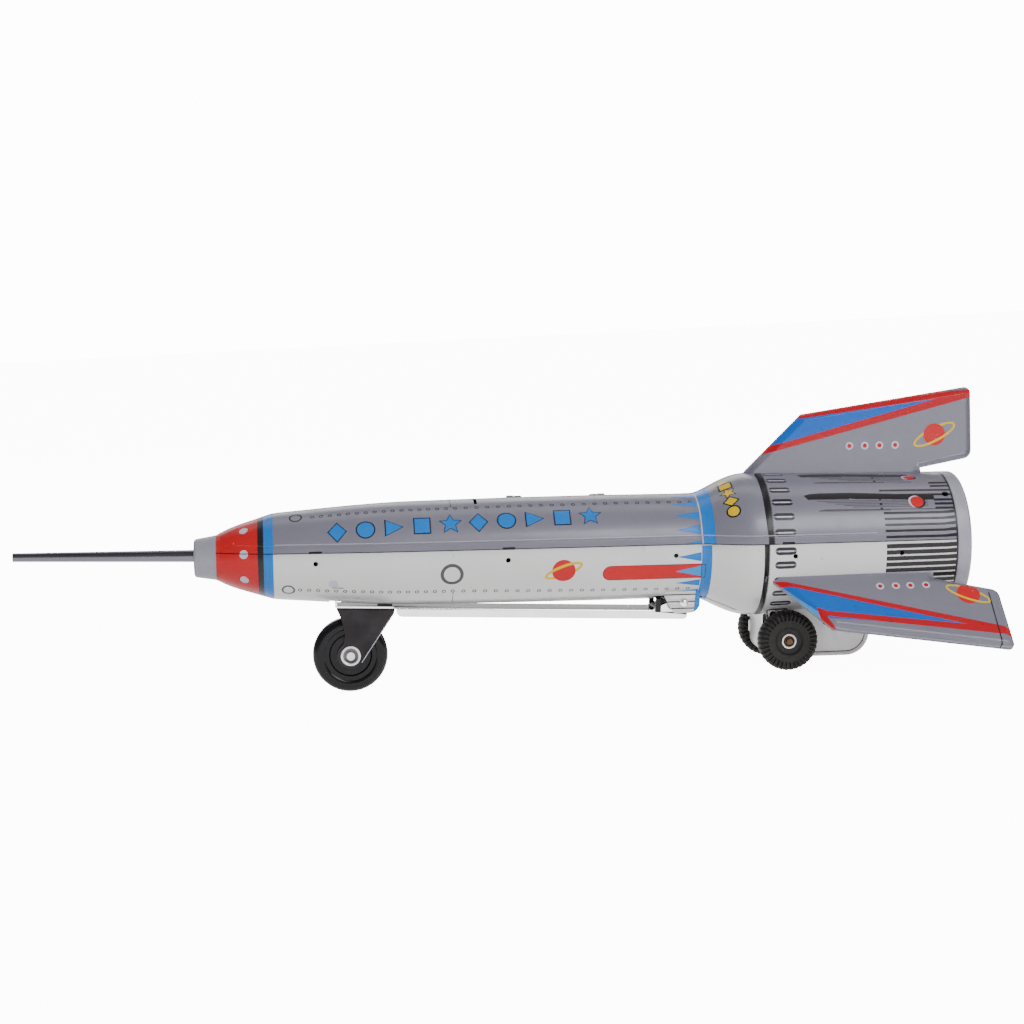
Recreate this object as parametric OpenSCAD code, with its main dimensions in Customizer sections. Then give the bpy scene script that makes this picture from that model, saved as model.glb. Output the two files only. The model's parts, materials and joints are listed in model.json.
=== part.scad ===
// Tin space rocket with a friction drive, a push probe and a sprung front leg.
// The rocket is drawn along X with its nose towards -X and its axis at z = 0,
// then sit() tilts it nose up and lifts it so that its three wheels stand on z = 0.

/* [Stance] */
// Nose-up tilt of the body when it stands on its wheels, in degrees
tilt = 2; // [1:0.1:3]
// Height of the body's axis above the floor at x = 0
axis_height = 52.2; // [50:0.1:54]
// Offset along X that centres the whole rocket on the origin
centre_x = 3.6; // [0:0.1:8]

/* [Body] */
// Thickness of the tin
tin = 0.6; // [0.4:0.1:0.8]
// Height of the seam between the two half shells above the axis
seam_z = 3; // [1:0.5:5]
// Height of the upper shell's overlapping lip
lip_h = 2.4; // [1.5:0.1:3]
// Station where the nozzle ends and the grey tail ring starts
nozzle_end = 172.7; // [170:0.1:176]

/* [Nose probe] */
// How far the probe can be pushed in
probe_travel = 6; // [4:0.5:6]
// Free length of the probe ahead of the nose cap
probe_free = 69.5; // [60:0.5:75]
// Radius of the probe at the nose cap
probe_r = 2.4; // [2:0.1:2.6]
// Radius of the probe at its tip
probe_tip_r = 1.72; // [1.4:0.02:2]
// Upward lean of the probe against the body's axis, in degrees
probe_lean = 1; // [0:0.1:1.2]

/* [Fins] */
// Thickness of a pressed fin
fin_t = 4.4; // [4:0.1:5]
// Thickness of a fin's pinched rim
fin_rim = 1.2; // [1:0.1:1.4]
// Width of the bevel between a fin's face and its rim
fin_bevel = 2.2; // [2:0.1:2.4]
// Angle of the lower fins' roots round the body, from the top
low_fin_root = 116.5; // [112:0.5:120]
// Slope of the lower fins below the horizontal
low_fin_slope = 45; // [40:1:50]

/* [Front leg] */
// Station of the leg's pivot
pivot_x = 66; // [65:0.1:67]
// Depth of the leg's pivot below the axis
pivot_drop = 21.3; // [21:0.1:22]
// Slope of the folded leg, in degrees
arm_slope = 2.16; // [2:0.02:2.4]
// Half the width of the leg's channel
arm_half_w = 7.2; // [6:0.1:8]
// Radius of the front wheel
front_r = 14.8; // [14:0.1:15.2]
// Width of the front wheel
front_w = 7; // [6:0.1:7.4]
// Station of the front wheel
front_x = -65.5; // [-67:0.1:-64]

/* [Friction drive] */
// Radius of the rear tyres
rear_r = 11.84; // [11.4:0.02:12.2]
// Width of the rear tyres
rear_w = 7.5; // [6:0.5:8]
// Distance between the outer faces of the rear tyres
rear_track = 44; // [42:0.5:46]
// Station of the rear axle
rear_x = 106.3; // [105.8:0.1:106.8]
// Radius of the rear axle
axle_r = 1.2; // [1:0.05:1.3]
// Half the width of the gear box over its side plates
motor_half_w = 12.2; // [12:0.1:13]
// Radius of the flywheel
flywheel_r = 8.2; // [7:0.1:8.4]

/* [Hatch] */
// Length of the hatch door
hatch_l = 36; // [30:1:38]
// Angle of the hatch hinge round the body, from the top
hinge_angle = 24; // [22:0.5:26]

/* [Hidden] */

$fn = 96;
eps = 0.02;         // hair gap between two pieces that only touch
run = 0.05;         // radial running clearance of a shaft in its hole
big = 400;          // larger than the rocket, for half spaces

// Outer surface of the body as [station, radius], from the nose cap to the tail ring
profile = [
  [-116.7, 8.9], [-114, 10.5], [-110, 12.1], [-105.2, 13.7], [-100.5, 15.05], [-97.6, 16.05],
  [-94.8, 17], [-84.8, 17.75], [-75, 18.55], [-65, 19.3], [-55, 19.9], [-45, 20.3], [-25.4, 20.6],
  [2.4, 20.9], [34.5, 21], [60, 20.85], [72, 20.7], [74.5, 21.4], [76.6, 22.6], [81.4, 25.1],
  [86.2, 27.2], [90, 28.3], [94.5, 28.6], [98.3, 28.45], [nozzle_end, 27.3]
];
cap_x = profile[0][0];
cap_front_x = -125.5;

// Probe line: it leaves the middle of the nose cap just above the axis
probe_z = 0.9;
probe_bore_r = probe_r + run;
rod_r = 1.5;
collar_at = 17.7;           // distance along the probe line from the cap's front face
collar_t = 1;
spring_l = 3 * probe_travel + 0.3;
guide_t = 1;
guide_x = cap_front_x + collar_at + collar_t + spring_l + guide_t / 2;

// Latch lever, pivoted behind the probe's rod
latch_x = -79;
latch_z = -9;
latch_pin_r = 0.8;
latch_half_t = 0.8;         // half the thickness of the lever's arm
rod_end = latch_x - latch_half_t - 1 - cap_front_x;

// The ground plane seen from the tilted body gives each wheel's depth
function wheel_z(x, r) = (r - axis_height + x * sin(tilt)) / cos(tilt);
front_z = wheel_z(front_x, front_r);
rear_z = wheel_z(rear_x, rear_r);

// Leg dimensions in its own frame, whose origin is the pivot and whose X runs along the channel
arm_front = -137;
arm_rear = 2.5;
arm_top = -3.58;
arm_t = 0.6;
flange_h = 3.8;
flange_front = -113.2;
pivot_r = 1;
front_axle_r = 1.6;
plate_in = 4.4;             // inner face of the wheel bracket's cheeks
plate_t = 0.8;

// Gear train: module, teeth and centres
gear_m = 0.5;
axle_teeth = 24;
idler_pinion_teeth = 12;
idler_teeth = 28;
fly_pinion_teeth = 10;
mesh_slack = 0.08;          // extra centre distance of each meshing pair
shaft_r = 0.8;
idler_dist = gear_m * (axle_teeth + idler_pinion_teeth) / 2 + mesh_slack;
idler_lift = 38;
idler_x = rear_x + idler_dist * cos(idler_lift);
idler_z = rear_z + idler_dist * sin(idler_lift);
fly_dist = gear_m * (idler_teeth + fly_pinion_teeth) / 2 + mesh_slack;
fly_x = idler_x + fly_dist;
fly_z = idler_z;
bush_r = 2.2;
eyelet_r = 2;

// Gear box outline
motor_front = 98;
motor_rear = 141;
motor_bottom = -44.5;
motor_top = -15;
motor_sheet = 0.8;
spacer_r = 1.3;
spacers = [[101.8, -27.1], [136, -22], [112.5, -42.3]];

// Plane through the three fins' trailing edges, on which the rocket stands upright
stand_x = 187.12;
stand_slope = 0.023;
function stand_at(z) = stand_x - stand_slope * z;

// Fin outlines as [station, height over the root]; their trailing edges lie in that plane
root_r = 28.8;
function top_edge(h) = [stand_at(root_r + h), h];
function low_edge(h) = [stand_at(root_r * cos(low_fin_root) - h * sin(low_fin_slope)), h];
top_fin_points = [[93.6, 0.8], [116.1, 22.6], top_edge(32.7), top_edge(4), [165.2, 0.1]];
low_fin_points = [[98.2, -1.2], [118.5, 23], low_edge(35.3), low_edge(6.8), [163, 0.3]];
fin_tabs = [[104, 5], [129.5, 4], [152.5, 4]];

// Hatch stations and angles
hatch_x = 0;
hatch_a0 = hinge_angle + 3;
hatch_a1 = 66;
hinge_r = 21.95;
knuckle_r = 0.65;
strap_end = hinge_angle + 12.5;
hatch_pin_r = 0.45;
knuckles = [1.3, 32];       // stations of the door's knuckles
knuckle_l = 2.7;

tin_silver = "#c9c7cf";
pale_silver = "#d8d6d4";
chrome = "#8f8f93";
grey_plastic = "#9c9aa6";
black = "#222226";
brass = "#b5924c";
steel = "#a9abb0";

// ---------- helpers ----------

function arc(c, r, a0, a1, n = 10) = [for (i = [0:n]) let (a = a0 + (a1 - a0) * i / n) c + r * [cos(a), sin(a)]];

function unit(v) = v / norm(v);

// Arc of radius r that rounds the corner b between the points a and c
function rounded(a, b, c, r, n = 6) =
  let (u = unit(a - b), v = unit(c - b), half = acos(u * v) / 2,
       m = b + unit(u + v) * r / sin(half), p = b + u * r / tan(half) - m, q = b + v * r / tan(half) - m,
       a0 = atan2(p[1], p[0]), turn = atan2(q[1], q[0]) - a0,
       sweep = turn > 180 ? turn - 360 : turn < -180 ? turn + 360 : turn)
  arc(m, r, a0, a0 + sweep, n);

// Profile moved outwards by d, as [radius, station] points
function shell_line(d) = [for (p = profile) [p[1] + d, p[0]]];

function backwards(list) = [for (i = [len(list) - 1:-1:0]) list[i]];

module sit() translate([centre_x, 0, axis_height]) rotate([0, tilt, 0]) children();

module about_axis() rotate([0, 90, 0]) rotate_extrude() children();

// Skin between two offsets of the profile
module skin(d_out, d_in) about_axis() polygon(concat(shell_line(d_out), backwards(shell_line(d_in))));

// Everything inside an offset of the profile
module core(d) about_axis() polygon(concat([[0, cap_x]], shell_line(d), [[0, nozzle_end]]));

module box(x0, x1, y0, y1, z0, z1) translate([x0, y0, z0]) cube([x1 - x0, y1 - y0, z1 - z0]);

// Wedge of a cylinder between two angles from the top; positive angles lie on the +Y side
module sector(x0, x1, a0, a1, r = 60)
  translate([x0, 0, 0]) rotate([90, 0, 90]) linear_extrude(x1 - x0)
    polygon([[0, 0], [r * sin(a0), r * cos(a0)], [r * sin(a1), r * cos(a1)]]);

// Plate in the XZ plane between two Y values
module plate(y0, y1) translate([0, y1, 0]) rotate([90, 0, 0]) linear_extrude(y1 - y0) children();

// Rod along Y
module rod(x, z, r, y0, y1) translate([x, y1, z]) rotate([90, 0, 0]) cylinder(r = r, h = y1 - y0);

// Rod along X
module rod_x(x0, x1, y, z, r) translate([x0, y, z]) rotate([0, 90, 0]) cylinder(r = r, h = x1 - x0);

module both_sides() {
  children();
  mirror([0, 1, 0]) children();
}

module along_probe() translate([cap_front_x, 0, probe_z]) rotate([0, probe_lean, 0]) children();

module probe_rod_x(x0, x1, r) rod_x(x0, x1, 0, 0, r);

module in_arm() translate([pivot_x, 0, -pivot_drop]) rotate([0, arm_slope, 0]) children();

// ---------- body ----------

// Round hole through a shell, at an angle from the top
module shell_hole(x, angle, r)
  rotate([-angle, 0, 0]) translate([x, 0, 0]) cylinder(r = r, h = 40);

module seam_holes() {
  for (x = [-78.5, -4.3, 61.6, 107.4, 150])
    for (side = [-1, 1])
      shell_hole(x, side * 94.5, 0.95);
}

// Hole through the upper shell and the tail ring behind it
module tail_hole() shell_hole(169.9, -43, 1.35);

module vent_slots() {
  for (x = [-81, -6.5, 102])
    for (side = [-1, 1])
      rotate([-side * 80, 0, 0]) box(x, x + 5, -0.6, 0.6, 10, 40);
}

// Pressed slot beside the leg's well, seen under the flare
module flare_slots() {
  for (side = [-1, 1])
    rotate([180 + side * 24, 0, 0]) box(74.5, 87.5, -0.6, 0.6, 10, 40);
}

module upper_body_shell() sit() color(tin_silver) {
  difference() {
    union() {
      difference() {
        skin(0, -tin);
        box(-big, big, -big, big, -big, seam_z + 2);
      }
      intersection() {
        skin(tin + eps, eps);
        box(cap_x + 8, nozzle_end - 3, -big, big, seam_z, seam_z + lip_h);
      }
      intersection() {
        skin(tin + eps, -tin);
        box(cap_x + 8, nozzle_end - 3, -big, big, seam_z + 2, seam_z + lip_h);
      }
      hinge_knuckles();
    }
    sector(hatch_x - 0.3, hatch_x + hatch_l + 0.3, hatch_a0 - 0.6, hatch_a1 + 1);
    box(-16.1, -14.9, -7.5, 0.5, 10, 40);
    vent_slots();
    tail_hole();
    top_fin_frame() fin_tab_slots();
  }
}

module hinge_knuckles() {
  difference() {
    for (x = [hatch_x - 1.8, hatch_x + hatch_l - 1]) {
      at_hinge(x) cylinder(r = knuckle_r + 0.15, h = 2.8);
      intersection() {
        skin(0.9, -0.4);
        sector(x, x + 2.8, hinge_angle - 6, hinge_angle);
      }
    }
    core(-0.3);
    at_hinge(hatch_x - 5) cylinder(r = hatch_pin_r, h = hatch_l + 10);
  }
}

module at_hinge(x)
  translate([x, hinge_r * sin(hinge_angle), hinge_r * cos(hinge_angle)]) rotate([0, 90, 0]) children();

module lower_body_shell() sit() color(pale_silver) {
  difference() {
    union() {
      difference() {
        skin(0, -tin);
        box(-big, big, -big, big, seam_z + 1.95, big);
      }
      both_sides() pivot_ear();
    }
    box(-73.4, -69, -6.6, 6.6, -30, -10);
    box(55, 75, -9, 9, -30, -10);
    box(motor_front - 0.3, motor_rear + 0.3, -motor_half_w - 0.3, motor_half_w + 0.3, -40, -10);
    seam_holes();
    flare_slots();
    for (side = [-1, 1])
      low_fin_frame(side) fin_tab_slots();
    rod(pivot_x, -pivot_drop, pivot_r, -20, 20);
  }
}

// Ear bent down from the shell that carries the leg's pivot
module pivot_ear() {
  ear_y = -12;
  outline = concat(
    [[58.5, -15], [58.5, -19], [62, -25.6]],
    rounded([62, -25.6], [72.6, -25.6], [72.6, -16], 4.2),
    [[72.6, -15]]
  );
  plate(ear_y, ear_y + tin) polygon(outline);
}

module nose_cap() sit() color(grey_plastic) {
  difference() {
    about_axis() polygon(concat(
      [[0, cap_front_x + 0.4]],
      rounded([0, cap_front_x], [7.5, cap_front_x], [8.9, cap_x], 1.2),
      [[8.9, cap_x], [8.2, cap_x], [8.2, -108], [0, -108]]
    ));
    along_probe() probe_rod_x(-5, 30, probe_bore_r);
  }
}

module tail_cap() sit() color(grey_plastic) difference() {
  about_axis() polygon([
    [0, 174.6], [6, 174.6], [8, 173.2], [19, 173.2], [21.5, 174.6], [24.4, 177.6], [25, 178.7],
    [25.9, 178.7], [26.8, 178.2], [27.25, 177.2], [27.3, nozzle_end], [26.6, nozzle_end],
    [26.6, 167], [25.8, 167], [25.8, 173.6], [22.5, 172], [19.5, 171.6], [8, 171.6], [6, 173], [0, 173]
  ]);
  tail_hole();
}

// ---------- fins ----------

module top_fin_frame() translate([0, 0, root_r]) children();

// side is -1 for the left fin and 1 for the right one
module low_fin_frame(side)
  translate([0, side * root_r * sin(low_fin_root), root_r * cos(low_fin_root)])
    rotate([-side * (90 + low_fin_slope), 0, 0]) children();

function fin_outline(p) = concat(
  [[p[0][0] - 3, p[0][1] - 6], p[0], p[1]],
  rounded(p[1], p[2], p[3], 2.4),
  rounded(p[2], p[3], p[4], 3.6),
  [p[4], [p[4][0], p[4][1] - 6]]
);

// The same outline drawn in by the thickness of the tin, and open at the root
function fin_hollow(p) = [
  [p[0][0] + 3.6, p[0][1] - 8], p[0] + [3.6, 0], p[1] + [1.2, -2.6], p[2] + [-3, -3],
  p[3] + [-2.7, 3], p[4] + [-3, 2.4], [p[4][0] - 3, p[4][1] - 8]
];

module fin_tab_slots() {
  for (tab = fin_tabs)
    box(tab[0] - 0.1, tab[0] + tab[1] + 0.1, -0.6, 0.6, -8, 2);
}

// Cutters for the bevels along one edge of a fin, whose outside lies left of the line from p to q
module edge_bevels(p, q) {
  turn = atan2(q[1] - p[1], q[0] - p[0]);
  lean = atan2((fin_t - fin_rim) / 2, fin_bevel);
  translate([p[0], 0, p[1]]) rotate([0, -turn, 0]) both_sides()
    translate([0, -fin_rim / 2, 0]) rotate([-lean, 0, 0]) box(-20, 100, -20, 0, -20, 20);
}

// Hollow pressing in the fin's own frame, before its root is trimmed to the body
module fin_pressing(points) {
  difference() {
    plate(-fin_t / 2, fin_t / 2) polygon(fin_outline(points));
    plate(-fin_t / 2 + 0.5, fin_t / 2 - 0.5) polygon(fin_hollow(points));
    for (i = [0:3])
      edge_bevels(points[i], points[i + 1]);
  }
}

// Tabs through the shell, each on a web between the fin's two faces
module fin_tab_strips() {
  for (tab = fin_tabs) {
    box(tab[0], tab[0] + tab[1], -0.5, 0.5, -3.2, 2.5);
    box(tab[0], tab[0] + tab[1], -fin_t / 2 + 0.3, fin_t / 2 - 0.3, 1.6, 2.5);
  }
}

module top_fin() sit() color(tin_silver) {
  difference() {
    top_fin_frame() fin_pressing(top_fin_points);
    core(eps);
  }
  top_fin_frame() fin_tab_strips();
}

module low_fin(side) {
  difference() {
    low_fin_frame(side) fin_pressing(low_fin_points);
    core(eps);
  }
  low_fin_frame(side) fin_tab_strips();
}

module left_fin() sit() color(tin_silver) low_fin(-1);

module right_fin() sit() color(tin_silver) low_fin(1);

// ---------- nose probe and latch ----------

module nose_probe() sit() color(steel) along_probe() difference() {
  union() {
    translate([-probe_free, 0, 0]) rotate([0, 90, 0])
      cylinder(r1 = probe_tip_r, r2 = probe_r, h = probe_free - 2);
    probe_rod_x(-2.01, collar_at, probe_r);
    probe_rod_x(collar_at, collar_at + collar_t, 3.9);
  }
  translate([-probe_free - 1, 0, 0]) rotate([0, 90, 0]) cylinder(r1 = 1.15, r2 = 1.5, h = 61);
  probe_rod_x(collar_at - 9, collar_at + 2, rod_r);
}

module probe_rod() sit() color(steel) along_probe() {
  probe_rod_x(collar_at - 9, rod_end - 1, rod_r);
  translate([rod_end - 1, 0, 0]) rotate([0, 90, 0]) cylinder(r1 = rod_r, r2 = 0.6, h = 1);
}

module probe_spring() sit() color(steel) along_probe() difference() {
  spring_start = collar_at + collar_t;
  probe_rod_x(spring_start + 0.05, spring_start + spring_l - 0.1, 3.4);
  probe_rod_x(0, 60, 2.6);
}

// Bulkhead across the nose that guides the rod and carries the spring
module probe_guide() sit() color(steel) difference() {
  intersection() {
    core(-tin);
    box(guide_x - guide_t / 2, guide_x + guide_t / 2, -30, 30, -30, 30);
  }
  along_probe() probe_rod_x(20, 60, rod_r + run);
  for (a = [0, 90, 180, 270])
    rotate([a + 45, 0, 0]) rod_x(guide_x - 2, guide_x + 2, 0, 9.5, 3);
}

module latch_lever() sit() color(steel) difference() {
  union() {
    plate(-2, 2) polygon([
      [latch_x - latch_half_t, 2.5], [latch_x + latch_half_t, 2.5], [latch_x + 1.2, latch_z + 1.8],
      [latch_x + latch_half_t, -12.6], [-74.6, -13], [-72.9, -13.4], [-73.4, -14.8],
      [latch_x - latch_half_t, -14.8], [latch_x - 1.2, latch_z + 1.8]
    ]);
    rod(latch_x, latch_z, 1.9, -2, 2);
  }
  rod(latch_x, latch_z, latch_pin_r + run, -5, 5);
}

module latch_pin() sit() color(steel) {
  rod(latch_x, latch_z, latch_pin_r, -4.2, 4.2);
  both_sides() rod(latch_x, latch_z, 1.4, -4.2, -3.4);
}

module latch_bracket() sit() color(steel) both_sides() {
  difference() {
    plate(-3.4, -2.6) polygon([[-82, -17], [-76, -17], [-77, -7.2], [-81, -7.2]]);
    rod(latch_x, latch_z, latch_pin_r, -10, 10);
    difference() {
      box(-90, -70, -30, 30, -30, 30);
      core(-tin);
    }
  }
  intersection() {
    box(-82, -76, -6, -2.6, -19, -16.4);
    core(-tin);
  }
}

// ---------- front leg ----------

// Lug that turns on the pivot pin at the rear of the channel
module arm_lug() {
  plate(-arm_half_w, -arm_half_w + arm_t) {
    circle(r = 3);
    polygon([[-12, arm_top], [-3, 0], [0, -3], [arm_rear, -1.8], [arm_rear, arm_top], [arm_rear, arm_top - flange_h],
             [-12, arm_top - flange_h]]);
  }
}

module swing_arm() sit() color(chrome) in_arm() difference() {
  union() {
    box(arm_front, arm_rear, -arm_half_w, arm_half_w, arm_top - arm_t, arm_top);
    both_sides() {
      box(flange_front, arm_rear, -arm_half_w, -arm_half_w + arm_t, arm_top - flange_h, arm_top);
      arm_lug();
    }
    box(arm_front, arm_front + arm_t, -6, 6, arm_top - arm_t, -0.4);
    box(arm_front, arm_front + arm_t, -2.5, 2.5, -0.5, 4);
    box(arm_front - 1.5, arm_front + arm_t, -2.5, 2.5, 3.3, 4);
  }
  rod(0, 0, pivot_r + run, -20, 20);
}

// Cheek of the fork round the front wheel
module bracket_cheek() {
  plate(-plate_in - plate_t, -plate_in) polygon(concat(
    arc([front_x, front_z], 5.3, -32, -222, 24),
    [[-68.1, -34.6], [-67.6, -31], [-68.3, -27], [-69.5, -23.6], [-70.9, -21], [-70.9, -18], [-48.1, -18],
     [-48.1, -21.7]]
  ));
}

module wheel_bracket() sit() color(chrome) difference() {
  union() {
    both_sides() bracket_cheek();
    in_arm() box(arm_front + 2, flange_front - 3, -plate_in - 0.1, plate_in + 0.1, arm_top - 2 * arm_t - eps, arm_top);
  }
  in_arm() box(arm_front - 5, flange_front + 5, -10, 10, arm_top - arm_t - eps, arm_top + 5);
  rod(front_x, front_z, front_axle_r, -10, 10);
}

module front_axle() sit() color(steel) {
  rod(front_x, front_z, front_axle_r, -6.4, 6.4);
}

module axle_washers() sit() color(steel) both_sides() difference() {
  rod(front_x, front_z, 3.9, -plate_in - plate_t - 0.7, -plate_in - plate_t);
  rod(front_x, front_z, front_axle_r, -10, 10);
}

module front_wheel() sit() color(black) translate([front_x, 0, front_z]) rotate([90, 0, 0]) {
  h = front_w / 2;
  rotate_extrude() polygon(concat(
    [[front_axle_r + run, -h - 0.5], [3.4, -h - 0.5], [3.4, -h + 0.6], [9.2, -h + 0.6], [9.8, -h]],
    rounded([9.8, -h], [front_r, -h], [front_r, h], 2.6),
    rounded([front_r, -h], [front_r, h], [9.8, h], 2.6),
    [[9.8, h], [9.2, h - 0.6], [3.4, h - 0.6], [3.4, h + 0.5], [front_axle_r + run, h + 0.5]]
  ));
}

module arm_pivot_pin() sit() color(steel) {
  rod(pivot_x, -pivot_drop, pivot_r, -13, 13);
  both_sides() {
    rod(pivot_x, -pivot_drop, 1.8, -11.35, -7.4);
    intersection() {
      translate([pivot_x, -12, -pivot_drop]) sphere(r = 1.9);
      box(60, 72, -14.5, -12, -24, -18);
    }
  }
}

// Torsion spring on the pin with a hoop over the leg's channel
module arm_spring() sit() color(black) in_arm() {
  difference() {
    rod(0, 0, 2.7, -5.6, 5.6);
    rod(0, 0, pivot_r + 0.2, -10, 10);
  }
  difference() {
    box(-10.4, -8.2, -8.3, 8.3, -7.6, 1.6);
    box(-12, -6, -7.3, 7.3, -9, 1);
  }
  both_sides() rod_x(-9.4, -1, -5.2, 1.3, 0.3);
}

// Rubber pad under the nose that the folded leg rests against
module arm_stop() sit() color(black) {
  difference() {
    box(-54.2, -48.8, -5.5, 5.5, -20.3, -18);
    core(eps);
  }
}

// ---------- hatch ----------

module hatch_pins() sit() color(steel) {
  at_hinge(hatch_x - 1.8) cylinder(r = hatch_pin_r, h = 6.2);
  at_hinge(hatch_x + hatch_l - 4.4) cylinder(r = hatch_pin_r, h = 6.2);
}

module hatch_door() sit() color(tin_silver) difference() {
  union() {
    intersection() {
      skin(0, -tin);
      sector(hatch_x, hatch_x + hatch_l, hatch_a0, hatch_a1);
    }
    for (x = knuckles) {
      at_hinge(x) cylinder(r = knuckle_r, h = knuckle_l);
      intersection() {
        skin(tin, 0.2);
        sector(x, x + knuckle_l, hinge_angle + 1, strap_end);
      }
      intersection() {
        skin(tin, -0.3);
        sector(x, x + knuckle_l, hatch_a0 + 1.5, strap_end);
      }
    }
  }
  at_hinge(-10) cylinder(r = hatch_pin_r + run, h = 60);
}

// ---------- friction drive ----------

function motor_outline(inset) =
  let (x0 = motor_front + inset, x1 = motor_rear - inset, z = motor_bottom + inset)
  concat(
    [[x0, motor_top]],
    rounded([x0, motor_top], [x0, z], [x1, z], 5 - inset),
    rounded([x0, z], [x1, z], [x1, motor_top], 9.5 - inset),
    [[x1, motor_top]]
  );

module motor_bores() {
  rod(rear_x, rear_z, bush_r, -20, 20);
  rod(idler_x, idler_z, shaft_r + run, -20, 20);
  rod(fly_x, fly_z, shaft_r + run, -20, 20);
  for (s = spacers)
    rod(s[0], s[1], 0.7, -20, 20);
}

module motor_side(y0, y1) difference() {
  plate(y0, y1) polygon(motor_outline(0));
  motor_bores();
}

module motor_left_plate() sit() color(pale_silver) motor_side(-motor_half_w, -motor_half_w + motor_sheet);

module motor_right_plate() sit() color(pale_silver) motor_side(motor_half_w - motor_sheet, motor_half_w);

// Folded strip that closes the gear box in front, below and behind
module motor_cover() sit() color(steel) difference() {
  inner = motor_half_w - motor_sheet;
  plate(-inner, inner) polygon(motor_outline(0));
  plate(-inner - 1, inner + 1) translate([0, 0.01]) polygon(motor_outline(tin));
}

module motor_spacers() sit() color(steel) {
  inner = motor_half_w - motor_sheet;
  for (s = spacers) {
    rod(s[0], s[1], spacer_r, -inner, inner);
    rod(s[0], s[1], 0.7, -motor_half_w - 0.3, motor_half_w + 0.3);
    both_sides() rod(s[0], s[1], 1.2, -motor_half_w - 0.7, -motor_half_w);
  }
}

module axle_bushes() sit() color(brass) both_sides() difference() {
  rod(rear_x, rear_z, bush_r, -13.9, -motor_half_w + motor_sheet - 0.4);
  rod(rear_x, rear_z, axle_r + run, -20, 20);
}

module rear_axle() sit() color(steel) rod(rear_x, rear_z, axle_r, -rear_track / 2 - 0.6, rear_track / 2 + 0.6);

// Tyre with its hub recessed on the outer face, centred at the origin and turning about Y
module tyre() rotate([90, 0, 0]) {
  h = rear_w / 2;
  difference() {
    rotate_extrude() polygon([
      [eyelet_r, -h], [6, -h], [9.4, -h], [rear_r, -h + 1.4], [rear_r, h - 1.4], [9.4, h], [6.2, h],
      [5.6, h - 0.9], [eyelet_r, h - 0.9]
    ]);
    for (i = [0:17])
      rotate([0, 0, i * 20]) translate([rear_r, 0, 0]) cube([1.2, 0.9, 2 * rear_w], center = true);
  }
}

module left_tyre() sit() color(black) translate([rear_x, -(rear_track - rear_w) / 2, rear_z]) tyre();

module right_tyre() sit() color(black)
  translate([rear_x, (rear_track - rear_w) / 2, rear_z]) rotate([0, 0, 180]) tyre();

// Brass eyelets that fix the tyres on the axle
module hub_eyelets() sit() color(brass) both_sides() difference() {
  outer = -rear_track / 2;
  union() {
    rod(rear_x, rear_z, eyelet_r, outer + 0.9, outer + rear_w);
    rod(rear_x, rear_z, 3.3, outer + 0.4, outer + 0.9);
  }
  rod(rear_x, rear_z, axle_r, -30, 30);
}

// Involute gear outline with shortened teeth and backlash, one tooth pointing along +X
function involute(base, r) = let (t = sqrt(max(0, r * r / (base * base) - 1))) t * 180 / PI - atan(t);

function gear_points(teeth, m = gear_m, slack = 0.16) =
  let (pitch = m * teeth / 2, base = pitch * cos(20), tip = pitch + 0.8 * m, root = pitch - 1.15 * m,
       half = 90 / teeth * (1 - slack) + involute(base, pitch), low = max(root, base),
       steps = [0, 0.25, 0.5, 0.75, 1])
  [for (i = [0:teeth - 1]) let (a = i * 360 / teeth)
    each concat(
      [root * [cos(a - 180 / teeth), sin(a - 180 / teeth)], root * [cos(a - half), sin(a - half)]],
      [for (s = steps) let (r = low + (tip - low) * s, b = half - involute(base, r)) r * [cos(a - b), sin(a - b)]],
      [for (s = steps) let (r = tip - (tip - low) * s, b = half - involute(base, r)) r * [cos(a + b), sin(a + b)]],
      [root * [cos(a + half), sin(a + half)]]
    )];

// Gear in the XZ plane about (x, z), turned so that a tooth points at turn degrees above +X
module gear(teeth, x, z, turn, y0, y1, bore)
  difference() {
    plate(y0, y1) translate([x, z]) rotate(turn) polygon(gear_points(teeth));
    rod(x, z, bore, y0 - 1, y1 + 1);
  }

module axle_gear() sit() color(brass)
  gear(axle_teeth, rear_x, rear_z, idler_lift, -9.6, -6.6, axle_r);

module idler_pinion() sit() color(brass)
  gear(idler_pinion_teeth, idler_x, idler_z, idler_lift + 180 + 180 / idler_pinion_teeth, -10, -6.2, shaft_r);

module idler_gear() sit() color(brass)
  gear(idler_teeth, idler_x, idler_z, 0, -5.6, -3.8, shaft_r);

module idler_shaft() sit() color(steel)
  rod(idler_x, idler_z, shaft_r, -motor_half_w - 0.6, motor_half_w + 0.6);

module flywheel_pinion() sit() color(brass)
  gear(fly_pinion_teeth, fly_x, fly_z, 180 + 180 / fly_pinion_teeth, -6, -3.4, shaft_r);

module flywheel_shaft() sit() color(steel)
  rod(fly_x, fly_z, shaft_r, -motor_half_w - 0.6, motor_half_w + 0.6);

module flywheel() sit() color(steel) translate([fly_x, 0, fly_z]) rotate([90, 0, 0]) rotate_extrude() polygon([
  [shaft_r, 1.6], [2.6, 1.6], [2.6, 0.4], [5.6, 0.4], [5.6, 1.6], [flywheel_r - 0.4, 1.6], [flywheel_r, 1.2],
  [flywheel_r, -5.6], [flywheel_r - 0.4, -6], [5.6, -6], [5.6, -4.8], [2.6, -4.8], [2.6, -6], [shaft_r, -6]
]);

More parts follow.
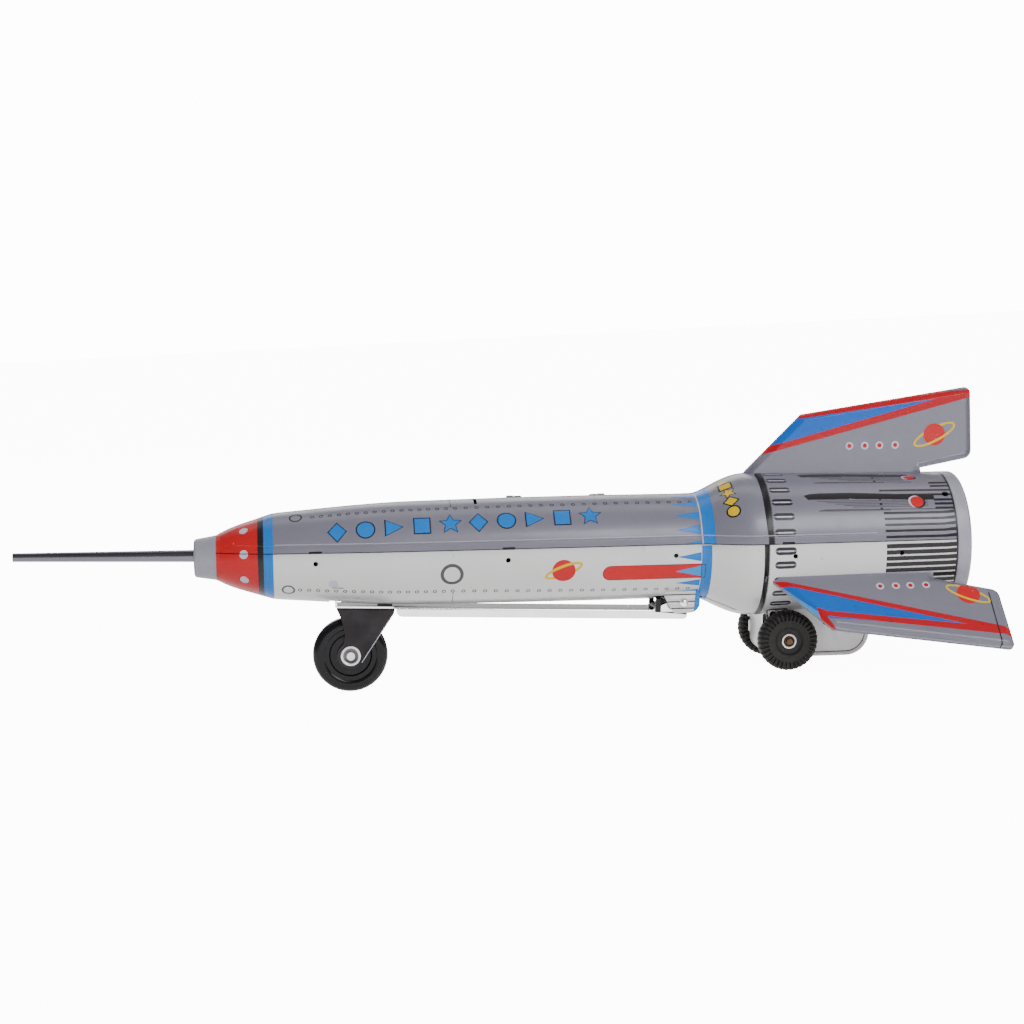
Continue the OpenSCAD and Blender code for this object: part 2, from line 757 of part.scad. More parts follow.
upper_body_shell();
lower_body_shell();
nose_cap();
tail_cap();
top_fin();
left_fin();
right_fin();
probe_guide();
latch_bracket();
latch_pin();
arm_pivot_pin();
arm_stop();
hatch_pins();
motor_left_plate();
motor_right_plate();
motor_cover();
motor_spacers();
axle_bushes();
nose_probe();
probe_rod();
probe_spring();
latch_lever();
hatch_door();
swing_arm();
wheel_bracket();
front_axle();
axle_washers();
arm_spring();
front_wheel();
rear_axle();
left_tyre();
right_tyre();
hub_eyelets();
axle_gear();
idler_shaft();
idler_gear();
idler_pinion();
flywheel_shaft();
flywheel();
flywheel_pinion();
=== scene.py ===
import json
import math

import bmesh
import bpy
import numpy as np
from mathutils import Matrix, Vector
from mathutils.bvhtree import BVHTree
from mathutils.geometry import delaunay_2d_cdt


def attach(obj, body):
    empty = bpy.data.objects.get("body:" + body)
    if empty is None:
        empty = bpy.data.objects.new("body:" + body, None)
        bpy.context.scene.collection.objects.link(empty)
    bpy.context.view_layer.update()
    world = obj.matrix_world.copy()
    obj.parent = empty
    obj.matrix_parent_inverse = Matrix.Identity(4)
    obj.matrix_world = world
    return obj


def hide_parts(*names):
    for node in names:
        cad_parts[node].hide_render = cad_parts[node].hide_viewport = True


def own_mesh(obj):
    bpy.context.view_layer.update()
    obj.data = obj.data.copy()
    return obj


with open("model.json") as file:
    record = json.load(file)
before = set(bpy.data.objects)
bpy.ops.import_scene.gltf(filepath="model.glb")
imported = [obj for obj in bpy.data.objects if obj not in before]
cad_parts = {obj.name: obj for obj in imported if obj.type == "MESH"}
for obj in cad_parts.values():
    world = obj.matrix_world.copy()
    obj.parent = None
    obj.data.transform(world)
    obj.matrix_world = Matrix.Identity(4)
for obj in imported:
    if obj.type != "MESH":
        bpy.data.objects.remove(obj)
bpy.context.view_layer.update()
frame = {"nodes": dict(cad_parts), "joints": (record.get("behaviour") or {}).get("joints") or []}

# ---------------------------------------------------------------- frame
# Pieces are drawn in millimetres in the rocket's own frame, as the CAD part is: X is the station
# along the body's axis, Y is the rocket's right-hand side and Z points away from the wheels.

MM = 0.001
NODES = frame["nodes"]
JOINTS = {joint["name"]: joint for joint in frame["joints"]}
AXIS = Vector(JOINTS["hatch_swing"]["axis"]).normalized()
SIDE = Vector((0, 1, 0))
UP = AXIS.cross(SIDE)


def extent(node, direction):
    """Least and greatest reach of a CAD node along a direction, in metres."""
    reach = [vertex.co.dot(direction) for vertex in NODES[node].data.vertices]
    return min(reach), max(reach)


CAP_FRONT = -125.5
CAP_END = -116.7
NOZZLE_END = 172.7
axis_start = extent("nose_cap", AXIS)[0] - CAP_FRONT * MM
axis_height = sum(extent("tail_cap", UP)) / 2
ORIGIN = AXIS * axis_start + UP * axis_height
ROCKET = Matrix.Translation(ORIGIN) @ Matrix((AXIS, SIDE, UP)).transposed().to_4x4() @ Matrix.Scale(MM, 4)
TO_ROCKET = ROCKET.inverted()


def station(joint):
    """(x, z) of a joint's axis in the rocket's frame."""
    place = TO_ROCKET @ Vector(JOINTS[joint]["pos_m"])
    return place.x, place.z


PIVOT = station("leg_swing")
FRONT_HUB = station("front_wheel_spin")
REAR_HUB = station("rear_axle_spin")
PROBE_AXIS = Vector(JOINTS["probe_slide"]["axis"]).normalized()
ARM_SLOPE = math.radians(2.16)
ARM = ROCKET @ Matrix.Translation((PIVOT[0], 0, PIVOT[1])) @ Matrix.Rotation(ARM_SLOPE, 4, "Y")


def surface_tree(node):
    mesh = NODES[node].data
    corners = [TO_ROCKET @ vertex.co for vertex in mesh.vertices]
    return BVHTree.FromPolygons(corners, [tuple(face.vertices) for face in mesh.polygons])


def body_radii():
    """The body's radius at every millimetre, read off the CAD shell and smoothed along its length."""
    tree = surface_tree("upper_body_shell")
    clear_angle = math.radians(33)      # a line along the shell that misses its openings
    outwards = Vector((0, -math.sin(clear_angle), math.cos(clear_angle)))
    stations = np.arange(CAP_END + 0.1, NOZZLE_END, 1.0)
    found = []
    for x in stations:
        hit = tree.ray_cast(Vector((x, 0, 0)) + outwards * 60, -outwards)[0]
        found.append(math.hypot(hit.y, hit.z))
    reach, spread = 6, 1.7
    before = [2 * found[0] - found[i] for i in range(reach, 0, -1)]
    after = [2 * found[-1] - found[-1 - i] for i in range(1, reach + 1)]
    kernel = np.exp(-0.5 * (np.arange(-reach, reach + 1) / spread) ** 2)
    smooth = np.convolve(before + found + after, kernel / kernel.sum(), mode="valid")
    return stations, smooth


STATIONS, RADII = body_radii()


def radius(x):
    return np.interp(x, STATIONS, RADII)


# ---------------------------------------------------------------- meshes

def put(name, vertices, faces, body, slot, material, replaces=(), place=ROCKET, normals=None, sharp=32):
    """Makes a piece from points in the given frame. normals, one per face corner, are in that frame too."""
    mesh = bpy.data.meshes.new(name)
    mesh.from_pydata([tuple(map(float, v)) for v in vertices], [], [tuple(map(int, f)) for f in faces])
    if normals is None:
        edit = bmesh.new()
        edit.from_mesh(mesh)
        bmesh.ops.remove_doubles(edit, verts=edit.verts, dist=1e-4)
        bmesh.ops.recalc_face_normals(edit, faces=edit.faces)
        edit.to_mesh(mesh)
        edit.free()
    mesh.transform(place)
    for face in mesh.polygons:
        face.use_smooth = True
    if normals is None:
        mesh.set_sharp_from_angle(angle=math.radians(sharp))
    else:
        turn = place.to_3x3().normalized()
        mesh.normals_split_custom_set([tuple((turn @ Vector(n)).normalized()) for n in normals])
    mesh.materials.append(material)
    piece = bpy.data.objects.new(name, mesh)
    bpy.context.scene.collection.objects.link(piece)
    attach(piece, body)
    if replaces:
        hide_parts(*replaces)
    return piece


def arc(centre, r, start, end, count=8):
    """Points on an arc between two angles in degrees."""
    angles = np.radians(np.linspace(start, end, count + 1))
    return [(centre[0] + r * math.cos(a), centre[1] + r * math.sin(a)) for a in angles]


def rounded(corners, closed=True, count=6):
    """Outline through (x, y, corner radius) triples; a radius of 0 keeps the corner sharp."""
    outline = []
    total = len(corners)
    for i, (x, y, r) in enumerate(corners):
        here = Vector((x, y))
        if r == 0 or (not closed and i in (0, total - 1)):
            outline.append((x, y))
            continue
        before = (Vector(corners[i - 1][:2]) - here).normalized()
        after = (Vector(corners[(i + 1) % total][:2]) - here).normalized()
        half = before.angle(after) / 2
        run = r / math.tan(half)
        centre = here + (before + after).normalized() * r / math.sin(half)
        start = here + before * run - centre
        turn = start.angle_signed(here + after * run - centre)
        for step in range(count + 1):
            outline.append(tuple(centre + Matrix.Rotation(-turn * step / count, 2) @ start))
    return outline


def lathe(profile, count=96, grooves=None):
    """Closed profile of (radius, height) points turned round Z. grooves is (number, second profile)."""
    base = np.array(profile, float)
    rings = []
    for i in range(count):
        ring = base
        if grooves and (i * grooves[0] / count) % 1 < 0.34:
            ring = np.array(grooves[1], float)
        a = 2 * math.pi * i / count
        rings.append(np.stack([ring[:, 0] * math.cos(a), ring[:, 0] * math.sin(a), ring[:, 1]], 1))
    vertices = np.concatenate(rings)
    n = len(base)
    faces = []
    for i in range(count):
        for k in range(n):
            a, b = i * n + k, i * n + (k + 1) % n
            c, d = ((i + 1) % count) * n + (k + 1) % n, ((i + 1) % count) * n + k
            faces.append((a, b, c, d))
    return vertices, faces


def along_y(x, y, z, flip=1):
    """Frame whose Z axis is the rocket's Y axis, or its opposite."""
    return ROCKET @ Matrix.Translation((x, y, z)) @ Matrix.Rotation(-flip * math.pi / 2, 4, "X")


def disc(r, squash=1.0, count=24, at=(0, 0)):
    return [(at[0] + r * math.cos(a), at[1] + squash * r * math.sin(a))
            for a in np.linspace(0, 2 * math.pi, count, endpoint=False)]


def joined(parts):
    """Joins (vertices, faces) pairs into one pair."""
    vertices, faces, start = [], [], 0
    for part_vertices, part_faces in parts:
        vertices.extend(tuple(v) for v in part_vertices)
        faces.extend(tuple(i + start for i in face) for face in part_faces)
        start += len(part_vertices)
    return vertices, faces


def moved(part, matrix):
    return [tuple(matrix @ Vector(v)) for v in part[0]], part[1]


def swept(path, section):
    """Section of (right, up) points carried along an open path, with flat ends."""
    path = [Vector(p) for p in path]
    count, n = len(path), len(section)
    vertices, faces = [], []
    up = Vector((0, 0, 1)) if abs((path[1] - path[0]).normalized().z) < 0.9 else Vector((1, 0, 0))
    for i, point in enumerate(path):
        forward = (path[min(i + 1, count - 1)] - path[max(i - 1, 0)]).normalized()
        right = forward.cross(up).normalized()
        up = right.cross(forward).normalized()
        vertices.extend(tuple(point + right * u + up * v) for u, v in section)
    for i in range(count - 1):
        for k in range(n):
            faces.append((i * n + k, i * n + (k + 1) % n, (i + 1) * n + (k + 1) % n, (i + 1) * n + k))
    faces.append(tuple(range(n - 1, -1, -1)))
    faces.append(tuple((count - 1) * n + k for k in range(n)))
    return vertices, faces


def wire(path, r):
    return swept(path, disc(r, count=12))


# ---------------------------------------------------------------- printed sheets

def inside(outline, points):
    """Which points lie inside an outline."""
    outline = np.asarray(outline, float)
    result = np.zeros(len(points), bool)
    low, high = outline.min(0), outline.max(0)
    near = np.where(np.all((points >= low) & (points <= high), axis=1))[0]
    if len(near) == 0:
        return result
    x, y = points[near, 0], points[near, 1]
    odd = np.zeros(len(near), bool)
    x0, y0 = outline[-1]
    for x1, y1 in outline:
        crosses = (y0 > y) != (y1 > y)
        if crosses.any():
            odd ^= crosses & (x < (x1 - x0) * (y - y0) / (y1 - y0 if y1 != y0 else 1e-12) + x0)
        x0, y0 = x1, y1
    result[near] = odd
    return result


def triangulated(outlines, grid):
    """Triangles that follow every outline, with the grid's points between them."""
    points, edges = [], []
    for outline in outlines:
        start, count = len(points), len(outline)
        points.extend(Vector(p) for p in outline)
        edges.extend((start + i, start + (i + 1) % count) for i in range(count))
    points.extend(Vector(p) for p in grid)
    found = delaunay_2d_cdt(points, edges, [], 0, 1e-5, False)
    return np.array([tuple(v) for v in found[0]]), np.array([tuple(f) for f in found[2]], int)


def sheet_solid(places, triangles, top, bottom):
    """Closed solid between two surfaces over some triangles, and a normal for each face corner."""
    used, inverse = np.unique(triangles, return_inverse=True)
    triangles = inverse.reshape(triangles.shape)
    spots = places[used]
    upper, lower = top(spots), bottom(spots)
    tilt = 0.01
    across = top(spots + (tilt, 0)) - top(spots - (tilt, 0))
    along = top(spots + (0, tilt)) - top(spots - (0, tilt))
    facing = np.cross(across, along)
    facing /= np.linalg.norm(facing, axis=1)[:, None]
    if np.einsum("ij,ij->i", facing, upper - lower).sum() < 0:
        facing = -facing
    first = triangles[0]
    flat = np.cross(upper[first[1]] - upper[first[0]], upper[first[2]] - upper[first[0]])
    if flat @ facing[first[0]] < 0:
        triangles = triangles[:, ::-1]
    count = len(used)
    edges = {}
    for a, b, c in triangles:
        for edge in ((a, b), (b, c), (c, a)):
            edges[edge] = edges.get(edge, 0) + 1
    vertices = np.concatenate([upper, lower])
    faces, normals = [], []
    for face in triangles:
        faces.append(tuple(face))
        normals.extend(facing[i] for i in face)
    for a, b, c in triangles:
        faces.append((c + count, b + count, a + count))
        normals.extend((-facing[c], -facing[b], -facing[a]))
    for a, b in edges:
        if (b, a) not in edges:
            wall = (b, a, a + count, b + count)
            out = np.cross(vertices[a] - vertices[b], vertices[b + count] - vertices[b])
            faces.append(wall)
            normals.extend([out / (np.linalg.norm(out) + 1e-12)] * 4)
    return vertices, faces, normals


PRINT_LIFT = 0.04
BARE = "bare"


def lifted(face, lift):
    return lambda spots: face(spots, lift)


def inward(face, thickness):
    """The inner face of a sheet of some thickness."""
    return lambda spots, lift: face(spots, -thickness - lift)


def upright(side, reach, away=1):
    """Face over (x, z) spots that stands at reach(spots) to one side of the middle plane."""
    return lambda spots, lift: np.stack([spots[:, 0], side * (reach(spots) + away * lift), spots[:, 1]], 1)


def printed_sheet(name, body, slot, material, replaces, outline, holes, prints, step, outer, inner,
                  guides=(), two_sided=False, place=ROCKET):
    """A sheet of tin with its printing. outer and inner map (u, v) spots and a lift to its two faces.

    Each print is (colour, outline); later ones lie over earlier ones, and bare ones wipe them off. The
    printing of each colour is one thin piece that rides on the sheet.
    """
    low, high = np.min(outline, axis=0), np.max(outline, axis=0)
    us = np.arange(low[0] + step[0] / 2, high[0], step[0])
    vs = np.arange(low[1] + step[1] / 2, high[1], step[1])
    grid = np.array([(u + (0.5 * step[0] if k % 2 else 0), v) for k, v in enumerate(vs) for u in us])
    grid = grid[inside(outline, grid)]
    prints = [(colour, np.asarray(line, float)) for colour, line in prints]
    prints = [(colour, line) for colour, line in prints
              if (line.max(0) > low).all() and (line.min(0) < high).all()]
    outlines = [outline, *holes, *[line for _, line in prints], *guides]
    cell = min(step)
    taken = {(int(u // cell), int(v // cell)) for line in outlines for u, v in line}
    kept = [(u, v) for u, v in grid if (int(u // cell), int(v // cell)) not in taken]
    places, triangles = triangulated(outlines, kept)
    centres = places[triangles].mean(1)
    present = inside(outline, centres)
    for hole in holes:
        present &= ~inside(hole, centres)
    names = sorted({colour for colour, _ in prints if colour != BARE})
    colour_of = np.full(len(triangles), -1)
    for colour, line in prints:
        colour_of[inside(line, centres)] = -1 if colour == BARE else names.index(colour)

    vertices, faces, normals = sheet_solid(places, triangles[present], lifted(outer, 0), lifted(inner, 0))
    put(name, vertices, faces, body, slot, material, replaces, place, normals)
    for number, colour in enumerate(names):
        chosen = triangles[present & (colour_of == number)]
        if len(chosen) == 0:
            continue
        parts = [sheet_solid(places, chosen, lifted(face, PRINT_LIFT), lifted(face, -PRINT_LIFT))
                 for face in ((outer, inner) if two_sided else (outer,))]
        vertices, faces = joined([part[:2] for part in parts])
        normals = [n for part in parts for n in part[2]]
        put(f"{name}_{colour}", vertices, faces, body, slot, INKS[colour], (), place, normals)


# ---------------------------------------------------------------- materials

COAT_ROUGHNESS = 0.08
GLOSS_SPREAD = 0.05
RELIEF = 0.1
SPECK_SIZE = 0.9
STREAK_SCALE = (0.06, 1, 1)


def node(tree, kind, feeds, **settings):
    """Adds a node. feeds gives an input socket a constant or another node's output."""
    made = tree.nodes.new("ShaderNode" + kind)
    for key, value in settings.items():
        setattr(made, key, value)
    for key, value in feeds.items():
        if isinstance(value, bpy.types.NodeSocket):
            tree.links.new(value, made.inputs[key])
        else:
            made.inputs[key].default_value = value
    return made


def finish(name, colour, rough, *, grain, bump, mottle, metallic=0.0, coat=0.0, specks=0.0,
           speck_colour=(0.8, 0.8, 0.8), streaks=False, specular=0.5):
    """Procedural finish: mottled colour, uneven gloss, fine bump and optional specks and drawn streaks."""
    material = bpy.data.materials.new(name)
    material.use_nodes = True
    tree = material.node_tree
    shader = tree.nodes["Principled BSDF"]
    shader.inputs["Metallic"].default_value = metallic
    shader.inputs["Coat Weight"].default_value = coat
    shader.inputs["Coat Roughness"].default_value = COAT_ROUGHNESS
    shader.inputs["Specular IOR Level"].default_value = specular
    spot = node(tree, "TexCoord", {}).outputs["Object"]
    if streaks:
        spot = node(tree, "Mapping", {"Vector": spot, "Scale": STREAK_SCALE}).outputs["Vector"]

    def noise(size, detail=3.0):
        feeds = {"Vector": spot, "Scale": 1 / (size * MM), "Detail": detail}
        return node(tree, "TexNoise", feeds).outputs["Fac"]

    def shift(value, low, high, start=0.3, end=0.7):
        feeds = {"Value": value, "From Min": start, "From Max": end, "To Min": low, "To Max": high}
        return node(tree, "MapRange", feeds).outputs["Result"]

    def blend(factor, first, second):
        feeds = {"Factor": factor, "A": first, "B": second}
        return node(tree, "Mix", feeds, data_type="RGBA").outputs["Result"]

    dark, light = [(*[min(1.0, c * scale) for c in colour], 1) for scale in (1 - mottle, 1 + mottle)]
    shade = blend(shift(noise(grain * 5), 0, 1), dark, light)
    if specks:
        spotted = shift(noise(SPECK_SIZE, 5), 0, 1, 0.76 - specks, 0.78 - specks)
        shade = blend(spotted, shade, (*speck_colour, 1))
    gloss = shift(noise(grain), max(0.02, rough - GLOSS_SPREAD), rough + GLOSS_SPREAD)
    relief = node(tree, "Bump", {"Strength": bump, "Distance": RELIEF * MM, "Height": noise(grain * 0.4)})
    tree.links.new(shade, shader.inputs["Base Color"])
    tree.links.new(gloss, shader.inputs["Roughness"])
    tree.links.new(relief.outputs["Normal"], shader.inputs["Normal"])
    return material


# LILAC_TIN and PALE_TIN stand for one silver-lilac tin: the upper shell, hatch and fins get a much darker
# base colour as painted shade from above, and the lower shell and the parts under the body a lighter, warmer
# one as painted light from the white floor.
LILAC_TIN = finish("lilac_tin", (0.17, 0.165, 0.205), 0.33, metallic=0.1, coat=0.1, grain=9, bump=0.08,
                   mottle=0.03, specular=0.3)
PALE_TIN = finish("pale_tin", (0.6, 0.595, 0.58), 0.32, metallic=0.1, coat=0.3, grain=9, bump=0.08,
                  mottle=0.03)
GREY_PLASTIC = finish("grey_plastic", (0.27, 0.265, 0.31), 0.4, grain=1.2, bump=0.2, mottle=0.04)
CHROME = finish("chrome", (0.95, 0.94, 0.94), 0.14, metallic=1, grain=2, bump=0.06, mottle=0.08, specks=0.02,
                speck_colour=(0.3, 0.29, 0.28))
# Chrome of the wheel fork, its base colour darkened nearly to black as a painted dark reflection.
DARK_REFLECTION_CHROME = finish("dark_reflection_chrome", (0.022, 0.02, 0.021), 0.22, metallic=1, grain=2.5, bump=0.1, mottle=0.3,
                     specks=0.03, speck_colour=(0.25, 0.24, 0.23))
STEEL = finish("drawn_steel", (0.13, 0.126, 0.142), 0.24, metallic=1, grain=1.5, bump=0.08, mottle=0.1,
               streaks=True)
DARK_STEEL = finish("dark_steel", (0.1, 0.1, 0.105), 0.32, metallic=1, grain=1.5, bump=0.1, mottle=0.15)
SPRING_STEEL = finish("spring_steel", (0.2, 0.2, 0.21), 0.3, metallic=1, grain=0.8, bump=0.1, mottle=0.1)
BLACKED = finish("blackened_steel", (0.006, 0.006, 0.006), 0.4, grain=0.8, bump=0.1, mottle=0.3, specular=0.3)
GLOSS_BLACK = finish("gloss_black", (0.003, 0.003, 0.0035), 0.2, grain=2.5, bump=0.05, mottle=0.4,
                     specks=0.008, speck_colour=(0.03, 0.03, 0.03), specular=0.22)
RUBBER = finish("tyre_rubber", (0.014, 0.013, 0.012), 0.55, grain=0.7, bump=0.35, mottle=0.3, specks=0.01,
                speck_colour=(0.03, 0.03, 0.028), specular=0.25)
BRASS = finish("brass", (0.34, 0.2, 0.09), 0.3, metallic=1, grain=1, bump=0.1, mottle=0.12)
BROWNED = finish("browned_brass", (0.11, 0.06, 0.03), 0.4, metallic=0.8, grain=0.8, bump=0.15, mottle=0.3)
WHITE_METAL = finish("white_metal", (0.75, 0.73, 0.71), 0.3, metallic=0.7, grain=1, bump=0.1, mottle=0.06)
INK_COLOURS = {
    "red": (0.5, 0.012, 0.014), "blue": (0.01, 0.16, 0.52), "royal": (0.004, 0.1, 0.44),
    "crimson": (0.4, 0.006, 0.012), "sky": (0.03, 0.26, 0.62), "yellow": (0.66, 0.43, 0.003),
    "dark": (0.016, 0.014, 0.016), "grey": (0.07, 0.065, 0.07), "white": (0.5, 0.48, 0.56),
    "lilac": (0.2, 0.195, 0.24), "sheen": (0.34, 0.33, 0.38),
}
INKS = {name: finish(f"{name}_ink", colour, 0.32, coat=0.08, mottle=0.03, grain=5, bump=0.05, specks=0.006,
                     specular=0.2) for name, colour in INK_COLOURS.items()}

# Body, slot and material of the commonest pieces.
BODY_LILAC = ("rocket_body", "tin_silver", LILAC_TIN)
BODY_PALE = ("rocket_body", "tin_pale", PALE_TIN)
BODY_PLASTIC = ("rocket_body", "grey_plastic", GREY_PLASTIC)
HATCH_LILAC = ("hatch", "tin_silver", LILAC_TIN)
LEG_CHROME = ("leg", "chrome", CHROME)

# ---------------------------------------------------------------- print shapes

TURN = 0.4      # sheet units per degree round the body


def band(x0, x1, angle0, angle1):
    """Band between two stations and two angles round the body."""
    count = max(2, int(abs(angle1 - angle0) / 3) + 1)
    angles = np.linspace(angle0, angle1, count) * TURN
    return [(x0, v) for v in angles] + [(x1, v) for v in angles[::-1]]


def patch(x, angle, points, r=None):
    """Outline in millimetres about a spot on the body; (backwards, upwards) points."""
    r = r or float(radius(x))
    return [(x + u, (angle - math.degrees(w / r)) * TURN) for u, w in points]


def fanned(angle, points):
    """Outline through stations and angles counted from one angle."""
    return [(x, (angle + more) * TURN) for x, more in points]


def level(height, x):
    """Angle at which the body's surface stands at a height."""
    return np.degrees(np.arccos(height / radius(x)))


def flipped(line, whole=0):
    """Outline on the other side of the middle."""
    return [(x, whole * TURN - v) for x, v in line]


def mirrored(prints, whole=0):
    """The same prints on the other side of the body."""
    return prints + [(colour, flipped(line, whole)) for colour, line in prints]


def turned(points, angle):
    c, s = math.cos(math.radians(angle)), math.sin(math.radians(angle))
    return [(c * x - s * y, s * x + c * y) for x, y in points]


def half_ring(ring, width, stroke, start):
    """Half of an elliptical ring, from the angle start on."""
    angles = np.linspace(start, start + math.pi, 25)
    outer = [(ring * math.cos(a), width * math.sin(a)) for a in angles]
    inner = [((ring - stroke) * math.cos(a), (width - stroke) * math.sin(a)) for a in angles[::-1]]
    return outer + inner


def planet(r, ring, width, tilt, stroke, front):
    """Ringed planet as (colour, points) pairs; its ring's upper half is in front if front is true."""
    halves = [turned(half_ring(ring, width, stroke, start), tilt) for start in (0, math.pi)]
    if front:
        halves = halves[::-1]
    return [("yellow", halves[0]), ("red", disc(r, count=36)), ("yellow", halves[1])]


STAR = [(r * math.sin(k * math.pi / 5), r * math.cos(k * math.pi / 5)) for k, r in enumerate([4.3, 2.0] * 5)]
DIAMOND = [(0, 4), (3.4, 0), (0, -4), (-3.4, 0)]
SQUARE = [(-3, 3.3), (3, 3.3), (3, -3.3), (-3, -3.3)]
WEDGE = [(-3.2, -3.4), (-3.2, 3.4), (3.4, 0)]
MARKS = [DIAMOND, disc(3.4), WEDGE, SQUARE, STAR]


def shrunk(points, factor):
    return [(x * factor, y * factor) for x, y in points]


def nose_prints():
    """Bands and spots round the nose, which run on over both shells."""
    rings = (("red", CAP_END - 2, -100.6), ("dark", -100.6, -98.4), ("blue", -98.4, -94.7))
    prints = [(colour, band(x0, x1, -200, 380)) for colour, x0, x1 in rings]
    return prints + [("white", patch(-106, 34.5 + 45 * k, disc(1.65))) for k in range(-5, 9)]


def circle_row(angle_at, start, end):
    """Row of small rings, closer together ahead of the printed cross line."""
    row, x = [], start
    while x < end:
        row.append(("dark", patch(x, angle_at(x), disc(0.82, count=14))))
        row.append((BARE, patch(x, angle_at(x), disc(0.5, count=12))))
        x += 3.47 if x < -26 else 4.23
    return row


def ring_mark(x, angle, r, stroke, colour="dark"):
    return [(colour, patch(x, angle, disc(r, count=36))), (BARE, patch(x, angle, disc(r - stroke, count=32)))]


def flame(angle, half=5.0, tip=61.6):
    """Blue spike before the blue ring."""
    return ("blue", fanned(angle, [(tip, 0), (71.6, -half), (71.6, half)]))


VENT = [*arc((106.3, 0), 1.5, -90, 90, 12), *arc((100.7, 0), 1.5, 90, 270, 12)]
VENT_R = 28.3


def vent(angle):
    """Drawn louvre behind the black band."""
    lines = [("lilac", patch(0, angle, VENT, VENT_R))]
    for low, high in ((0.3, 1.5), (-1.5, -0.3)):
        lines.append(("dark", patch(0, angle, [(x, max(low, min(high, w))) for x, w in VENT], VENT_R)))
    lines.append(("white", band(100.4, 106.6, angle - 0.5, angle + 0.7)))
    return lines


def bars(x0, x1, angles, half):
    return [("dark", band(x0, x1, angle - half, angle + half)) for angle in angles]


def frayed_band(x, rear, tooth, low, high, count):
    """Dark band round the flare whose rear edge has fine teeth."""
    teeth = [(rear + (tooth if k % 2 else 0), (low + 0.7 * k) * TURN) for k in range(count)]
    return ("dark", [(x, high * TURN), (x, low * TURN), *teeth])


def sawtooth(x0, x1, base, tip, pitch):
    """Edge points from x0 to x1 that go back and forth between two angles."""
    count = int(abs(x1 - x0) / pitch)
    points = []
    for k in range(count):
        t = k / count
        points.append((x0 + (x1 - x0) * t, base * TURN))
        points.append((x0 + (x1 - x0) * (t + 0.5 / count), tip * TURN))
    return points + [(x1, base * TURN)]


def streak(start, end, angle):
    """Dark brushed streak with a frayed lower edge over a coarse screen of fine lines."""
    tooth = 0.85
    dark = fanned(angle, [(start, 2.6), (start + 2.4, 1), (start + 6.5, 0.2), (start + 18, 0), (end, 3.4),
                          (end, 8.4), (start + 20, 6.6)])
    dark += sawtooth(start + 18, start + 1.2, angle + 6, angle + 7.6, tooth)
    screen = [("grey", band(start + 5 + 3.5 * k, end - 3, angle + 8.2 + 1.5 * k, angle + 8.75 + 1.5 * k))
              for k in range(5)]
    thin = fanned(angle, [(start + 8, 16.2), (end, 16.8), (end, 17.8)])
    thin += sawtooth(start + 34, start + 5, angle + 17.2, angle + 18.6, tooth)
    return [*screen, ("dark", dark), ("grey", thin)]


def lamp(x, angle, wide, high):
    return [("white", patch(x - 0.35, angle, disc(wide + 0.4, (high + 0.35) / (wide + 0.4)))),
            ("dark", patch(x + 0.4, angle + 0.5, disc(wide + 0.3, (high + 0.3) / (wide + 0.3)))),
            ("red", patch(x, angle, disc(wide, high / wide)))]


UPPER_BAR = [(143.5, -1), (167, -1), (172.6, -2.3), (172.6, 0.6), (167, 1), (143.5, 1)]
LOWER_BAR = [(143.8, -1.9), (168, -2.1), (172.6, -2.6), (172.6, 1.2), (168, 1.5), (143.8, 1.7)]


def upper_prints():
    side = ring_mark(-85.8, 27.4, 2.6, 0.65) + circle_row(lambda x: 28.4 - 0.01 * x, -79.4, 72)
    side.append(("dark", band(-25.6, -25.35, 4, 27)))
    for k in range(10):
        x, angle, mark = -70 + 10.95 * k, 55.9 - 9.4 * k / 9, MARKS[k % 5]
        side += [("dark", patch(x, angle, shrunk(mark, 1.12))), ("blue", patch(x, angle, shrunk(mark, 0.97)))]
    for k in range(5):
        x, angle, mark = 82.9 + 0.35 * k, 11 + 10.8 * k, turned(shrunk(MARKS[(k + 2) % 5], 0.62), 90)
        side += [("dark", patch(x, angle, shrunk(mark, 1.3))), ("yellow", patch(x, angle, mark))]
    side += [flame(angle) for angle in (16, 32.5, 49.5, 66.5, 83.5, 0)]
    side += [("white", band(71.9, 72.3, -1, 86)), ("blue", band(72.5, 77, -1, 87))]
    side.append(frayed_band(96.6, 98.5, 0.8, -1, 88, 126))
    for k in range(6):
        side += vent(10.4 + 13 * k)
    side += streak(113, 158, 10.3) + streak(112.6, 165, 40.6)
    side += bars(142.5, 143.5, (15, 20, 26, 47.5, 52.5, 57), 1)
    side += [("dark", fanned(angle, UPPER_BAR)) for angle in (61, 66, 71, 76, 81)]
    side += bars(143.5, 172.6, (38.5, 43.5), 1) + bars(164.7, 172.6, (29, 33.5, 49, 53, 57), 1.1)
    side += lamp(157.8, 19.7, 2.3, 1.3) + lamp(157.7, 50.6, 2.7, 2.5)
    side.append(("dark", band(172, 173, -1, 90)))
    # Painted highlight: a thin band in the sheen ink along the upper shell just above its joggled edge,
    # between heights 5.95 and 6.3 mm.
    xs = np.arange(-94, 142, 3.0)
    painted_highlight_line = [(x, level(6.3, x) * TURN) for x in xs] + [(x, level(5.95, x) * TURN) for x in xs[::-1]]
    side.append(("sheen", painted_highlight_line))
    return nose_prints() + mirrored(side)


